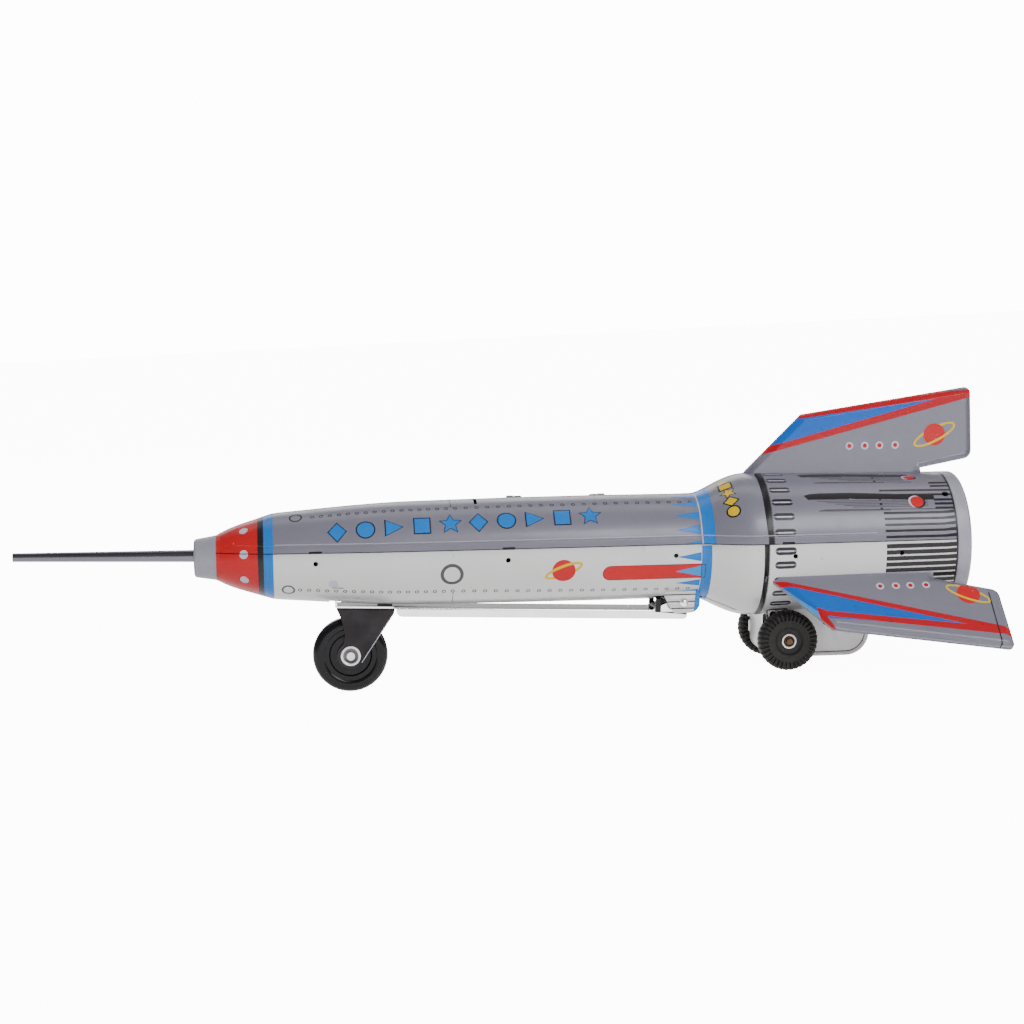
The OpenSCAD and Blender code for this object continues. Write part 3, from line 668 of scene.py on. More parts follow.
def lower_prints():
    side = ring_mark(-89.2, 132.8, 2.6, 0.7, "grey")
    side += circle_row(lambda x: 132 if x < -26 else 131.5 + 0.071 * (x + 26), -84.7, 71)
    side.append(("dark", band(-25.6, -25.35, 133, 158)))
    side += ring_mark(-26.1, 109.1, 4.5, 1.3, "grey")
    side += [(colour, patch(17.4, 107.9, points)) for colour, points in planet(4.6, 7.9, 2.5, 21, 1.15, True)]
    side += [flame(angle, 5, 62) for angle in (96, 128.4, 144.6, 160.8, 177)]
    for colour, rear, low, high, r in (("dark", 71.8, 103.7, 121.3, 3.25), ("red", 71.7, 104.2, 120.8, 3.05)):
        tip = patch(0, 112.5, arc((35.9, 0), r, -90, -270, 12), 21)
        side.append((colour, [(rear, low * TURN), (rear, high * TURN), *tip]))
    side.append(("sky", [(61.5, 112.3 * TURN), (71.7, 106 * TURN), (71.7, 119 * TURN)]))
    side += [("white", band(71.9, 72.2, 84, 181)), ("blue", band(71.8, 75.6, 84, 181))]
    side += [("dark", band(71.7, 73.4, 104.2, 120.8)), ("blue", band(71.9, 73.2, 104.9, 120.1))]
    side += [("dark", band(95, 96.9, 84, 181)), frayed_band(96.5, 96.8, 0.6, 84, 181, 139)]
    for angle in (90, 101.2, 114.4, 127.4, 140.4, 153.4):
        side += vent(angle)
    side += [("dark", fanned(88.6 + 5.1 * k, LOWER_BAR)) for k in range(9)]
    side.append(("dark", band(172, 173, 84, 181)))
    return nose_prints() + mirrored(side, 360)


# ---------------------------------------------------------------- body shells

TIN = 0.5
SEAM = 3.0
LIP = 0.6


def smoothstep(t):
    t = np.clip(t, 0, 1)
    return t * t * (3 - 2 * t)


def overlap(x):
    """How far the upper shell's joggled edge is developed at a station, from 0 to 1."""
    return smoothstep((x + 112) / 5) * smoothstep((172.4 - x) / 4)


def ring_point(x, angle, r):
    a = np.radians(angle)
    return np.stack([x, -r * np.sin(a), r * np.cos(a)], 1)


def upper_outer(spots, lift):
    x, angle = spots[:, 0], spots[:, 1] / TURN
    height = radius(x) * np.cos(np.radians(angle))
    return ring_point(x, angle, radius(x) + lift + LIP * overlap(x) * smoothstep((6.1 - height) / 0.9))


SEAM_HOLES = [(-78.5, 94.5), (-4.3, 94.5), (61.6, 94.5), (107.4, 94.5), (150, 94.5)]


def lower_outer(spots, lift):
    x, angle = spots[:, 0], spots[:, 1] / TURN
    r = radius(x) + lift
    near = 180 - np.abs(angle - 180)
    for hole_x, hole_angle in SEAM_HOLES:
        apart = np.hypot(x - hole_x, np.radians(near - hole_angle) * radius(x))
        r = r - 0.35 * np.exp(-(apart / 1.9) ** 2)
    return ring_point(x, angle, r)


ALONG = np.array([*np.arange(CAP_END, NOZZLE_END - 0.05, 1.6), NOZZLE_END - 0.05])
upper_edge = np.degrees(np.arccos(SEAM / (radius(ALONG) + LIP * overlap(ALONG))))
lower_edge = np.degrees(np.arccos((SEAM - 0.05 + 1.6 * overlap(ALONG)) / radius(ALONG)))
upper_outline = [(x, a * TURN) for x, a in zip(ALONG, upper_edge)]
upper_outline += flipped(upper_outline[::-1])
lower_outline = [(x, a * TURN) for x, a in zip(ALONG, lower_edge)]
lower_outline += flipped(lower_outline[::-1], 360)


def divided(line):
    """Closed outline with points added so that none lie further apart than a short gap."""
    gap = 1.7
    points = []
    for (x0, v0), (x1, v1) in zip(line, line[1:] + line[:1]):
        count = max(1, math.ceil(math.hypot(x1 - x0, v1 - v0) / gap))
        points += [(x0 + (x1 - x0) * k / count, v0 + (v1 - v0) * k / count) for k in range(count)]
    return points


def step_guides():
    """Lines beside the joggle of the upper shell's edge, so that its triangles follow it."""
    guides = []
    inner = ALONG[2:-2]
    for upper, lower in ((6.1, 5.65), (5.2, 4.6)):
        ahead = list(zip(inner, level(upper, inner) * TURN))
        back = list(zip(inner[::-1], level(lower, inner[::-1]) * TURN))
        guides += [ahead + back, flipped(ahead + back)]
    return guides


def slot_cut(x0, x1, angle, half):
    r = float(radius((x0 + x1) / 2))
    return band(x0, x1, angle - math.degrees(half / r), angle + math.degrees(half / r))


def window(x0, x1, half):
    """Opening in the belly between two stations, half to each side of the middle."""
    xs = np.linspace(x0, x1, 8)
    spread = np.degrees(np.arcsin(half / radius(xs)))
    return ([(x, (180 - a) * TURN) for x, a in zip(xs, spread)]
            + [(x, (180 + a) * TURN) for x, a in zip(xs[::-1], spread[::-1])])


HINGE = TO_ROCKET @ Vector(JOINTS["hatch_swing"]["pos_m"])
HINGE_ANGLE = math.degrees(math.atan2(HINGE.y, HINGE.z))
DOOR = (0.0, 36.0, HINGE_ANGLE + 3, 66.0)      # its stations and its angles from the top
NOTCHES = (-81, -6.5, 102)
NOTCH = 5

hatch_hole = band(DOOR[0] - 0.35, DOOR[1] + 0.35, -DOOR[3] - 1, -DOOR[2] + 0.6)
notches = [slot_cut(x, x + NOTCH, side * (np.interp(x, ALONG, upper_edge) - 0.6), 0.32)
           for x in NOTCHES for side in (1, -1)]
upper_holes = [hatch_hole, band(-16.1, -14.9, -2, 21), patch(169.9, 43, disc(1.35)), *notches]
printed_sheet("upper_shell", *BODY_LILAC, ["upper_body_shell"], divided(upper_outline), upper_holes,
              upper_prints(), (3.2, 1.7), upper_outer, inward(upper_outer, TIN), step_guides())

lower_holes = [patch(x, angle, disc(0.95)) for x, angle in SEAM_HOLES]
lower_holes += [flipped(hole, 360) for hole in lower_holes]
dimple_guides = [patch(x, angle, disc(r)) for x, angle in SEAM_HOLES for r in (1.5, 2.2, 3)]
dimple_guides += [flipped(guide, 360) for guide in dimple_guides]
lower_holes += [slot_cut(74.5, 87.5, angle, 0.6) for angle in (156, 204)]
lower_holes += [window(-73.4, -69, 6.6), window(55, 75, 9), window(97.7, 141.3, 12.4)]
# Painted shadow: a dark band on the lower shell just under the upper shell's lip along the seam, and dark
# dashes below the lip's notches.
painted_seam_shadow = [(x, angle * TURN) for x, angle in zip(ALONG, upper_edge - 2)]
painted_seam_shadow += [(x, level(SEAM - 0.42, x) * TURN) for x in ALONG[::-1]]
painted_shadows_and_highlight = [("dark", painted_seam_shadow)]
painted_shadows_and_highlight += [("dark", band(x, x + NOTCH, 77, level(2.5, x))) for x in NOTCHES]
# A painted highlight disc and a short bar of painted shadow on the lower shell beside the belly opening at
# station -71.
painted_shadows_and_highlight.append(("white", patch(-71.8, 120.9, disc(1.9))))
painted_shadows_and_highlight.append(("dark", patch(-70.2, 127.2, [(-2, 0), (2.2, 0), (2.2, 0.35), (-2, 0.35)])))
printed_sheet("lower_shell", *BODY_PALE, ["lower_body_shell"], divided(lower_outline), lower_holes,
              lower_prints() + mirrored(painted_shadows_and_highlight, 360), (3.2, 1.7), lower_outer, inward(lower_outer, TIN),
              dimple_guides)


def door_edge(spots):
    """Distance from each spot to the nearest edge of the hatch door."""
    x, angle = spots[:, 0], -spots[:, 1] / TURN
    sideways = np.minimum(np.radians(angle - DOOR[2]), np.radians(DOOR[3] - angle)) * radius(x)
    return np.minimum.reduce([x - DOOR[0], DOOR[1] - x, sideways])


def door_outer(spots, lift):
    x, angle = spots[:, 0], spots[:, 1] / TURN
    bead = 0.22 * np.exp(-((door_edge(spots) - 1.6) / 0.5) ** 2)
    return ring_point(x, angle, radius(x) + lift - bead)


def strap_outer(spots, lift):
    return ring_point(spots[:, 0], spots[:, 1] / TURN, radius(spots[:, 0]) + LIP + lift)


def strap(name, x0, x1, angle0, angle1, body, slot, material):
    printed_sheet(name, body, slot, material, (), band(x0, x1, -angle1, -angle0), [], [], (1.2, 1.0),
                  strap_outer, inward(strap_outer, LIP + 0.1))


door_outline = band(DOOR[0], DOOR[1], -DOOR[3], -DOOR[2])
door_beads = []
for d in (0.8, 1.6, 2.4):
    x0, x1, v0, v1 = DOOR[0] + d, DOOR[1] - d, -(DOOR[2] + d * 2.7) * TURN, -(DOOR[3] - d * 2.7) * TURN
    door_beads.append([(x0, v0), (x1, v0), (x1, v1), (x0, v1)])
printed_sheet("hatch_door_panel", *HATCH_LILAC, ["hatch_door"], door_outline, [], upper_prints(), (2.4, 1.3),
              door_outer, inward(door_outer, TIN), door_beads)


def knuckles(stations, length, r):
    """Curled knuckles of the hatch's hinge."""
    profile = [(0.5, 0), (r, 0), (r, length), (0.5, length)]
    tube = moved(lathe(profile, 32), Matrix.Rotation(math.pi / 2, 4, "Y"))
    return joined([moved(tube, Matrix.Translation((x, HINGE.y, HINGE.z))) for x in stations])


STRAPS = (1.3, 32.0)
SADDLES = (-1.8, 35.0)
for number, x in enumerate(STRAPS):
    strap(f"hatch_strap_{number}", x, x + 2.7, HINGE_ANGLE + 1.2, HINGE_ANGLE + 12.5, *HATCH_LILAC)
put("hatch_knuckles", *knuckles(STRAPS, 2.7, 0.65), *HATCH_LILAC)
put("hinge_knuckles", *knuckles(SADDLES, 2.8, 0.8), *BODY_LILAC)
for number, x in enumerate(SADDLES):
    strap(f"hinge_saddle_{number}", x, x + 2.8, HINGE_ANGLE - 6, HINGE_ANGLE, *BODY_LILAC)

# ---------------------------------------------------------------- nose and tail caps

ON_AXIS = ROCKET @ Matrix.Rotation(math.pi / 2, 4, "Y")
NOSE_CAP = [(2.6, -125.1), (2.9, -125.3), (6.1, -125.5), *arc((6.4, -124.3), 1.2, -90, -8, 6), (8.75, -117.3),
            (8.9, -116.9), (8.75, -116.7), (8.2, -116.7), (8.2, -108.1), (7.9, -108), (2.6, -108)]
TAIL_RING = [(0, 174.6), (5.6, 174.6), (6.2, 174.4), (7.8, 173.3), (8.4, 173.2), (18.6, 173.2), (19.4, 173.4),
             (21.5, 174.6), (24.2, 177.4), (24.5, 178.2), (25, 178.6), (25.9, 178.7), (26.6, 178.35),
             (27.05, 177.8), (27.25, 177.2), (27.3, 172.95), (27.15, 172.75), (26.6, 172.7), (26.6, 172.4),
             (25.8, 172.4), (25.8, 173.6), (22.5, 172), (19.5, 171.6), (8, 171.6), (6, 173), (0, 173)]
put("nose_cap_moulding", *lathe(NOSE_CAP), *BODY_PLASTIC, ["nose_cap"], ON_AXIS)
put("tail_ring", *lathe(TAIL_RING, 128), *BODY_PLASTIC, ["tail_cap"], ON_AXIS)

# ---------------------------------------------------------------- fins

ROOT_R = 28.8
FIN_HALF, RIM_HALF, BEVEL = 2.2, 0.55, 2.6


def stand_at(height):
    """Station of the plane through the fins' trailing edges."""
    return 187.12 - 0.023 * height


def to_edge(spots, line):
    """Distance from each spot to an open line."""
    line = np.asarray(line, float)
    best = np.full(len(spots), 1e9)
    for a, b in zip(line[:-1], line[1:]):
        run = b - a
        t = np.clip(((spots - a) @ run) / (run @ run), 0, 1)
        best = np.minimum(best, np.linalg.norm(spots - a - t[:, None] * run, axis=1))
    return best


def inset(line, d):
    """Open line moved sideways by d, to its right."""
    line = [Vector(p) for p in line]
    moved_line = []
    for k, p in enumerate(line):
        ahead = (line[min(k + 1, len(line) - 1)] - line[max(k - 1, 0)]).normalized()
        moved_line.append((p.x + ahead.y * d, p.y - ahead.x * d))
    return moved_line


def fin(name, replaced, place, corners, prints):
    """Pressed fin: corners run from the front of its root over the tip to the back of its root."""
    edge = rounded([(x, h, r) for (x, h), r in zip(corners, (0, 0.8, 2.4, 3.6, 0))], closed=False, count=7)
    outline = [(edge[0][0] - 2.0, -2.2), *edge, (edge[-1][0], -2.2)]

    def half(spots):
        reach = to_edge(spots, edge) / BEVEL
        return RIM_HALF + (FIN_HALF - RIM_HALF) * 0.5 * (smoothstep(reach) + np.clip(reach, 0, 1))

    lines = [inset(edge, d) for d in (0.9, 1.8, BEVEL, BEVEL + 0.4)]
    guides = [first + second[::-1] for first, second in ((lines[0], lines[1]), (lines[2], lines[3]))]
    printed_sheet(name, *BODY_LILAC, [replaced], outline, [], prints, (2.6, 2.3),
                  upright(1, half), upright(-1, half), guides, True, place)


def shifted(prints, x, h):
    return [(colour, [(x + u, h + w) for u, w in points]) for colour, points in prints]


def rivets(xs, h):
    prints = []
    for x in xs:
        prints += [("white", disc(1.6, at=(x, h))), ("crimson", disc(0.87, at=(x, h)))]
    return prints


TOP_CORNERS = [(93.6, 0.8), (116.1, 22.6), (stand_at(ROOT_R + 32.7), 32.7), (stand_at(ROOT_R + 4), 4),
               (165.2, 0.1)]
LOW_ROOT = math.radians(116.5)
LOW_TURN = math.radians(135)


def low_stand(h):
    return stand_at(ROOT_R * math.cos(LOW_ROOT) + h * math.cos(LOW_TURN))


LOW_CORNERS = [(98.2, -1.2), (118.5, 23), (low_stand(35.3), 35.3), (low_stand(6.8), 6.8), (163, 0.3)]

top_prints = [
    ("royal", [(102.2, 9.6), (114.4, 20.9), (171.5, 28.2), (171.5, 27.4)]),
    ("crimson", [(98.1, 6.4), (102.2, 9.9), (171.5, 28.0), (188, 30.4), (188, 29.0), (185.1, 28.3)]),
    ("crimson", [(113.2, 20.7), (170.7, 27.9), (188, 29.8), (188, 31.2), (171.1, 30.7), (115.2, 23.0),
                 (114.6, 22.6)]),
    *rivets((135.6, 141.9, 147.9, 154.4), 9.7),
    *shifted(planet(4.45, 9.5, 3.0, 26, 0.95, False), 170.5, 13.6),
]
low_prints = [
    ("royal", [(99.5, 0), (106, 7), (113.6, 15), (118, 19), (175.5, 25.5), (107, 3.5)]),
    ("sky", [(97, -2), (100.2, 0.6), (107.6, 9.2), (113.8, 15.2), (117.4, 19.4), (119.4, 24.8), (110, 18)]),
    ("crimson", [(96, -3), (99.2, -0.6), (103.6, 5.2), (106.4, 9.4), (104.6, 8.6), (98.0, 1.8)]),
    ("crimson", [(96, -1.2), (98.5, -0.4), (188, 26.2), (188, 30.0), (185.3, 29.2), (174, 24.7), (106.8, 4.0),
                 (98.5, 1.6)]),
    ("crimson", [(113.4, 13.6), (117.2, 15.6), (117.0, 18.4), (120.4, 24.4), (119.2, 27), (115.6, 22.6)]),
    ("crimson", [(116.4, 15.4), (175.1, 24.5), (186, 26), (186, 29.3), (116.7, 17.9)]),
    *rivets((140.3, 146.6, 152.4, 158.7), 4.5),
    *shifted(planet(4.6, 9.2, 2.9, 26, 0.95, True), 174.6, 9.4),
    ("dark", [(182.6, 9), (183.1, 9), (183.0, 33.5), (182.0, 34.4), (181.7, 34.1), (182.5, 33.2)]),
]
fin("top_fin_pressing", "top_fin", ROCKET @ Matrix.Translation((0, 0, ROOT_R)), TOP_CORNERS, top_prints)
for name, side in (("left", -1), ("right", 1)):
    place = (ROCKET @ Matrix.Translation((0, side * ROOT_R * math.sin(LOW_ROOT), ROOT_R * math.cos(LOW_ROOT)))
             @ Matrix.Rotation(-side * LOW_TURN, 4, "X"))
    fin(f"{name}_fin_pressing", f"{name}_fin", place, LOW_CORNERS, low_prints)

# ---------------------------------------------------------------- probe

slide_start = TO_ROCKET.to_3x3() @ PROBE_AXIS
LEAN = math.asin(-slide_start.normalized().z)
PROBE = ROCKET @ Matrix.Translation((CAP_FRONT, 0, 0.9)) @ Matrix.Rotation(math.pi / 2 + LEAN, 4, "Y")
PROBE_TUBE = [(1.15, -69.3), (1.25, -69.5), (1.6, -69.5), (1.72, -69.35), (2.39, -2.3), (2.4, -2),
              (2.4, 17.6), (3.8, 17.7), (3.9, 17.8), (3.9, 18.6), (3.8, 18.7), (1.5, 18.7), (1.5, 8.7),
              (1.5, -8), (1.2, -67)]
put("probe_tube", *lathe(PROBE_TUBE, 64), "probe", "steel", STEEL, ["nose_probe"], PROBE)


def helix(r, start, length, turns, steps):
    """(x, y, z) points of a coil round Z."""
    angles = np.linspace(0, 2 * math.pi * turns, turns * steps + 1)
    return [(r * math.cos(a), r * math.sin(a), start + length * a / (2 * math.pi * turns)) for a in angles]


spring = put("probe_coil", *wire(helix(3.0, 19.0, 17.6, 9, 24), 0.32), "rocket_body", "spring_steel",
             SPRING_STEEL, ["probe_spring"], PROBE, sharp=60)
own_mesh(spring)

# ---------------------------------------------------------------- front leg

def channel(half_width, top, bend, thickness):
    """Faces of a strip bent down along both sides, over (x, s); s runs across from the middle.

    It also gives the strip's own way of finding s from a height, and the lines that its bends lie between.
    """
    flat = half_width - bend
    quarter = bend * math.pi / 2

    def outer(spots, lift):
        x, s = spots[:, 0], spots[:, 1]
        reach = np.abs(s)
        turn = np.clip((reach - flat) / bend, 0, math.pi / 2)
        down = np.clip(reach - flat - quarter, 0, None)
        y = np.minimum(reach, flat) + (bend + lift) * np.sin(turn)
        z = top - bend + (bend + lift) * np.cos(turn) - down
        return np.stack([x, np.sign(s) * y, z], 1)

    def across(z):
        """Distance from the middle to a point of the bent side at height z."""
        return flat + quarter + top - bend - z

    lines = [flat, flat + quarter / 3, flat + 2 * quarter / 3, flat + quarter]
    return outer, inward(outer, thickness), across, lines


def slab(outline, y0, y1):
    """Plate between two Y values, from its (x, z) outline."""
    n = len(outline)
    vertices = [(x, y, z) for y in (y0, y1) for x, z in outline]
    faces = [tuple(range(n)), tuple(range(2 * n - 1, n - 1, -1))]
    faces += [(k, (k + 1) % n, (k + 1) % n + n, k + n) for k in range(n)]
    return vertices, faces


def softened(piece, width):
    edge = piece.modifiers.new("soft_edges", "BEVEL")
    edge.width = width * MM
    edge.segments = 2
    edge.limit_method = "ANGLE"
    edge.angle_limit = math.radians(50)
    edge.harden_normals = True


def bend_guides(front, rear, lines):
    """Outlines along a channel's bends, so that its triangles follow them."""
    pairs = ((lines[0], lines[1]), (lines[2], lines[3]))
    guides = [[(front, a), (rear, a), (rear, b), (front, b)] for a, b in pairs]
    return guides + [flipped(guide) for guide in guides]


ARM_FRONT, ARM_REAR, FLANGE_FRONT = -137.0, 2.5, -113.2
ARM_HALF, ARM_TOP, ARM_T, FLANGE = 7.2, -3.58, 0.6, 3.8
outer, inner, across, lines = channel(ARM_HALF, ARM_TOP, 0.9, ARM_T)
low = across(ARM_TOP - FLANGE)
side_edge = rounded([(FLANGE_FRONT - 1.2, lines[0], 0), (FLANGE_FRONT, lines[3], 0),
                     (FLANGE_FRONT + 0.2, low, 2.4), (ARM_REAR, low, 1.6), (ARM_REAR, lines[0], 0)],
                    closed=False)
corners = [(ARM_FRONT, lines[0]), *side_edge]
printed_sheet("leg_channel", *LEG_CHROME, ["swing_arm"], corners + flipped(corners[::-1]), [], [], (4, 1.6),
              outer, inner, bend_guides(FLANGE_FRONT - 1, ARM_REAR + 1, lines), place=ARM)
lug = [(-12, ARM_TOP - 0.9), (-11.4, ARM_TOP - 0.2), (-3, 0.3), *arc((0, 0), 3, 175, 20, 10), (2.5, ARM_TOP),
       (2.5, ARM_TOP - 2)]
hook_rear, hook_low = ARM_FRONT + ARM_T, ARM_TOP - ARM_T
hook = [(ARM_FRONT, hook_low), (hook_rear, hook_low), (hook_rear, 4.0), (ARM_FRONT - 1.5, 4.0),
        (ARM_FRONT - 1.5, 3.3), (ARM_FRONT, 3.3)]
post = [(ARM_FRONT, hook_low), (hook_rear, hook_low), (hook_rear, -0.4), (ARM_FRONT, -0.4)]
leg_lugs = joined([slab(lug, -ARM_HALF, -ARM_HALF + ARM_T), slab(lug, ARM_HALF - ARM_T, ARM_HALF)])
leg_catch = joined([slab(hook, -2.5, 2.5), slab(post, -6, -2.5), slab(post, 2.5, 6)])
softened(put("leg_lugs", *leg_lugs, *LEG_CHROME, place=ARM), 0.1)
softened(put("leg_catch", *leg_catch, *LEG_CHROME, place=ARM), 0.1)

CHEEK, CHEEK_T = 5.2, 0.8
outer, inner, across, lines = channel(CHEEK, ARM_TOP - ARM_T - 0.02, 0.9, CHEEK_T)
to_arm = ARM.inverted() @ ROCKET


def on_cheek(x, z):
    """Spot on the fork's sheet for a point of its cheek in the rocket's frame."""
    place = to_arm @ Vector((x, 0, z))
    return place.x, across(place.z)


hub_x, hub_z = FRONT_HUB
cheek = [(hub_x + 17.3, hub_z + 16.2), *arc((hub_x, hub_z), 5.3, -32, -222, 24), (-68.1, -34.6), (-67.6, -31),
         (-68.3, -27), (-69.5, -23.6), (-70.6, -21.2)]
cheek = [on_cheek(x, z) for x, z in cheek]
front, rear = cheek[-1][0], cheek[0][0]
half_outline = [(rear + 0.3, lines[0]), (rear + 0.3, lines[3]), *cheek, (front, lines[3]), (front, lines[0])]
axle_hole = [on_cheek(hub_x + u, hub_z + w) for u, w in disc(1.6)]
# Painted highlight: a thin strip in the sheen ink along the rear edge of each fork cheek, where the edge
# catches light.
(top_x, top_s), (low_x, low_s) = cheek[:2]
painted_edge_highlight = [cheek[0], cheek[1], (low_x - 0.3, low_s - 0.2), (top_x - 0.35, top_s - 0.2)]
printed_sheet("wheel_fork", "leg", "chrome", DARK_REFLECTION_CHROME, ["wheel_bracket"],
              half_outline + flipped(half_outline[::-1]), [axle_hole, flipped(axle_hole)],
              mirrored([("sheen", painted_edge_highlight)]), (1.6, 1.6), outer, inner,
              bend_guides(front - 1, rear + 1, lines), place=ARM)

hub_faces = [Matrix.Translation((hub_x, side * CHEEK, hub_z)) @ Matrix.Rotation(-side * math.pi / 2, 4, "X")
             for side in (-1, 1)]
FORK_WASHER = [(1.65, 0), (3.1, 0), (3.1, 0.4), (2.5, 0.4), (2.3, 0.3), (1.65, 0.3)]
WASHER_RIM = [(3.0, 0), (3.75, 0), (3.9, 0.15), (3.9, 0.45), (3.7, 0.66), (3.3, 0.66), (3.0, 0.45)]
# The washers' dark steel is painted shade and their white-metal rims a painted highlight; both are the same
# steel washers, in the steel slot.
washers, highlight_rims = [joined([moved(lathe(profile, 64), face) for face in hub_faces])
                 for profile in (FORK_WASHER, WASHER_RIM)]
put("fork_washers", *washers, "leg", "steel", DARK_STEEL, ["axle_washers"])
put("fork_washer_highlight_rims", *highlight_rims, "leg", "steel", WHITE_METAL)

hoop = [(-8.3, -4.6), (-8.3, 0.6), (-7.6, 1.5), (7.6, 1.5), (8.3, 0.6), (8.3, -4.6), (7.5, -4.6), (7.5, 0.4),
        (7.1, 0.8), (-7.1, 0.8), (-7.5, 0.4), (-7.5, -4.6)]
hoop_vertices, hoop_faces = slab(hoop, -10.4, -8.3)
hoop_vertices = [(y, x, z) for x, y, z in hoop_vertices]
torsion = [(x, y, z) for x, z, y in helix(2.3, -5.2, 10.4, 13, 20)]
legs = [[(-8.6, y, 1.3), (-1.5, y, 1.6), (0.3, y, 2.25)] for y in (5.2, -5.2)]
leg_spring = joined([(hoop_vertices, hoop_faces), wire(torsion, 0.35), *[wire(leg, 0.3) for leg in legs]])
put("leg_spring", *leg_spring, "leg", "black_finish", BLACKED, ["arm_spring"], ARM)

wheel_side = [(1.65, 4.0), (3.2, 4.0), (3.45, 3.8), (3.6, 2.9), (7.9, 2.75), (8.2, 2.95), (8.45, 3.2),
              (10.2, 3.15), (10.5, 3.35), (10.8, 3.5), (11.8, 3.5), *arc((12.1, 0.8), 2.7, 88, 4, 12)]
wheel = wheel_side + [(r, -h) for r, h in wheel_side[::-1]]
put("front_wheel_moulding", *lathe(wheel, 128), "front_wheel", "black_plastic", GLOSS_BLACK, ["front_wheel"],
    along_y(hub_x, 0, hub_z))

# ---------------------------------------------------------------- rear wheels and gear box

rear_x, rear_z = REAR_HUB


def tyre_profile(cut):
    """Tyre section from its hub bore outwards; cut lowers the tread where a groove runs."""
    face, wall = 3.75, 3.75 - 1.4 * cut
    shoulder = [(8.3, face), (8.7, wall), (9.6, wall), *arc((9.9 - cut * 0.4, wall - 1.7), 1.7, 80, 12, 5),
                (11.84 - 0.3 * cut, 1.4)]
    hub = [(2, 2.85), (3.4, 2.85), (4.9, 2.95), (5.3, 3.3), (5.7, face)]
    return [*hub, *shoulder, *[(r, -h) for r, h in shoulder[::-1]], (5.7, -face), (2, -face)]


EYELET = [(1.25, -3.75), (2, -3.75), (2, 2.85), (2.85, 2.85), (2.95, 3.1), (2.8, 3.32), (2.4, 3.35),
          (2.2, 3.2), (2.05, 2.95), (2.0, 2.2), (1.25, 2.2)]
COLLAR = [(1.22, 2.25), (1.98, 2.3), (1.95, 2.6), (1.75, 2.75), (1.5, 2.5), (1.22, 2.6)]
for name, side in (("left", -1), ("right", 1)):
    hub = along_y(rear_x, side * 18.25, rear_z, side)
    put(f"{name}_tyre_moulding", *lathe(tyre_profile(0), 180, (36, tyre_profile(0.5))), "rear_wheels",
        "tyre_rubber", RUBBER, [f"{name}_tyre"], hub, sharp=28)
    put(f"{name}_eyelet", *lathe(EYELET, 48), "rear_wheels", "brass", WHITE_METAL, ["hub_eyelets"], hub)
    put(f"{name}_hub_collar", *lathe(COLLAR, 40), "rear_wheels", "brass", BROWNED, (), hub)

MOTOR_FRONT, MOTOR_REAR, MOTOR_LOW, MOTOR_TOP, MOTOR_HALF = 98.0, 141.0, -44.5, -15.0, 12.2
PLATE = 0.8
motor_edge = rounded([(MOTOR_FRONT, MOTOR_TOP, 0), (MOTOR_FRONT, MOTOR_LOW, 5), (MOTOR_REAR, MOTOR_LOW, 9.5),
                      (MOTOR_REAR, MOTOR_TOP, 0)], closed=False, count=12)
bores = [disc(2.2, at=REAR_HUB), *[disc(0.9, at=station(joint)) for joint in ("idler_spin", "flywheel_spin")]]


def motor_reach(spots):
    """Distance of the gear box's side from the middle plane, with its pressed groove."""
    return MOTOR_HALF - 0.28 * np.exp(-((to_edge(spots, motor_edge) - 1.7) / 0.35) ** 2)


motor_guides = [inset(motor_edge, -a) + inset(motor_edge, -b)[::-1] for a, b in ((1.2, 1.5), (1.9, 2.2))]
# Painted shade: a dark line along the bottom of the pressed groove round each side of the gear box.
painted_groove_shade = [("dark", inset(motor_edge, -1.55) + inset(motor_edge, -1.85)[::-1])]
for name, side in (("left", -1), ("right", 1)):
    printed_sheet(f"{name}_motor_side", *BODY_PALE, [f"motor_{name}_plate"], motor_edge, bores, painted_groove_shade,
                  (2.6, 2.3), upright(side, motor_reach), upright(side, lambda s: motor_reach(s) - PLATE, -1),
                  motor_guides)
cover_half = MOTOR_HALF - PLATE
put("motor_band", *swept([(x, 0, z) for x, z in inset(motor_edge, -0.32)],
                         [(-cover_half, -0.3), (cover_half, -0.3), (cover_half, 0.3), (-cover_half, 0.3)]),
    "rocket_body", "steel", PALE_TIN, ["motor_cover"])
tabs = [[(97.3, -31.5), (98.9, -31.5), (98.9, -26.5), (97.3, -26.5)],
        [(97.6, -37.5), (99.4, -37.5), (99.4, -33), (97.6, -33)]]
motor_tabs = joined([slab(tab, y - 0.35, y + 0.35) for tab in tabs for y in (-12.9, 12.9)])
softened(put("motor_tabs", *motor_tabs, "rocket_body", "steel", CHROME), 0.15)

# ---------------------------------------------------------------- pivot ears

ear_edge = rounded([(58.5, -15, 0), (58.5, -19, 0), (62, -25.6, 1.5), (72.6, -25.6, 4.2), (72.6, -14, 0)],
                   closed=False)


def ear_reach(spots):
    """Distance of a pivot ear from the middle plane, with its ribs."""
    rib = np.exp(-((np.mod(spots[:, 1] + 26.2, 2.6) - 1.3) / 0.5) ** 2)
    return 12 + 0.45 * rib * smoothstep(to_edge(spots, ear_edge) - 0.5)


# The dark bars are painted shade in the valleys between the ear's ribs; the blue strip is print.
ear_print_and_rib_shade = [("dark", [(57, z), (73, z), (73, z + 0.45), (57, z + 0.45)]) for z in (-23.9, -21.2, -18.4)]
ear_print_and_rib_shade.append(("blue", [(71.2, -14), (73, -14), (73, -26), (70, -25)]))
for name, side in (("left", -1), ("right", 1)):
    printed_sheet(f"{name}_ear", *BODY_PALE, (), ear_edge, [disc(1.0, at=PIVOT)], ear_print_and_rib_shade, (0.7, 0.65),
                  upright(side, ear_reach), upright(side, lambda s: ear_reach(s) - TIN, -1))

# ---------------------------------------------------------------- carried-over CAD pieces

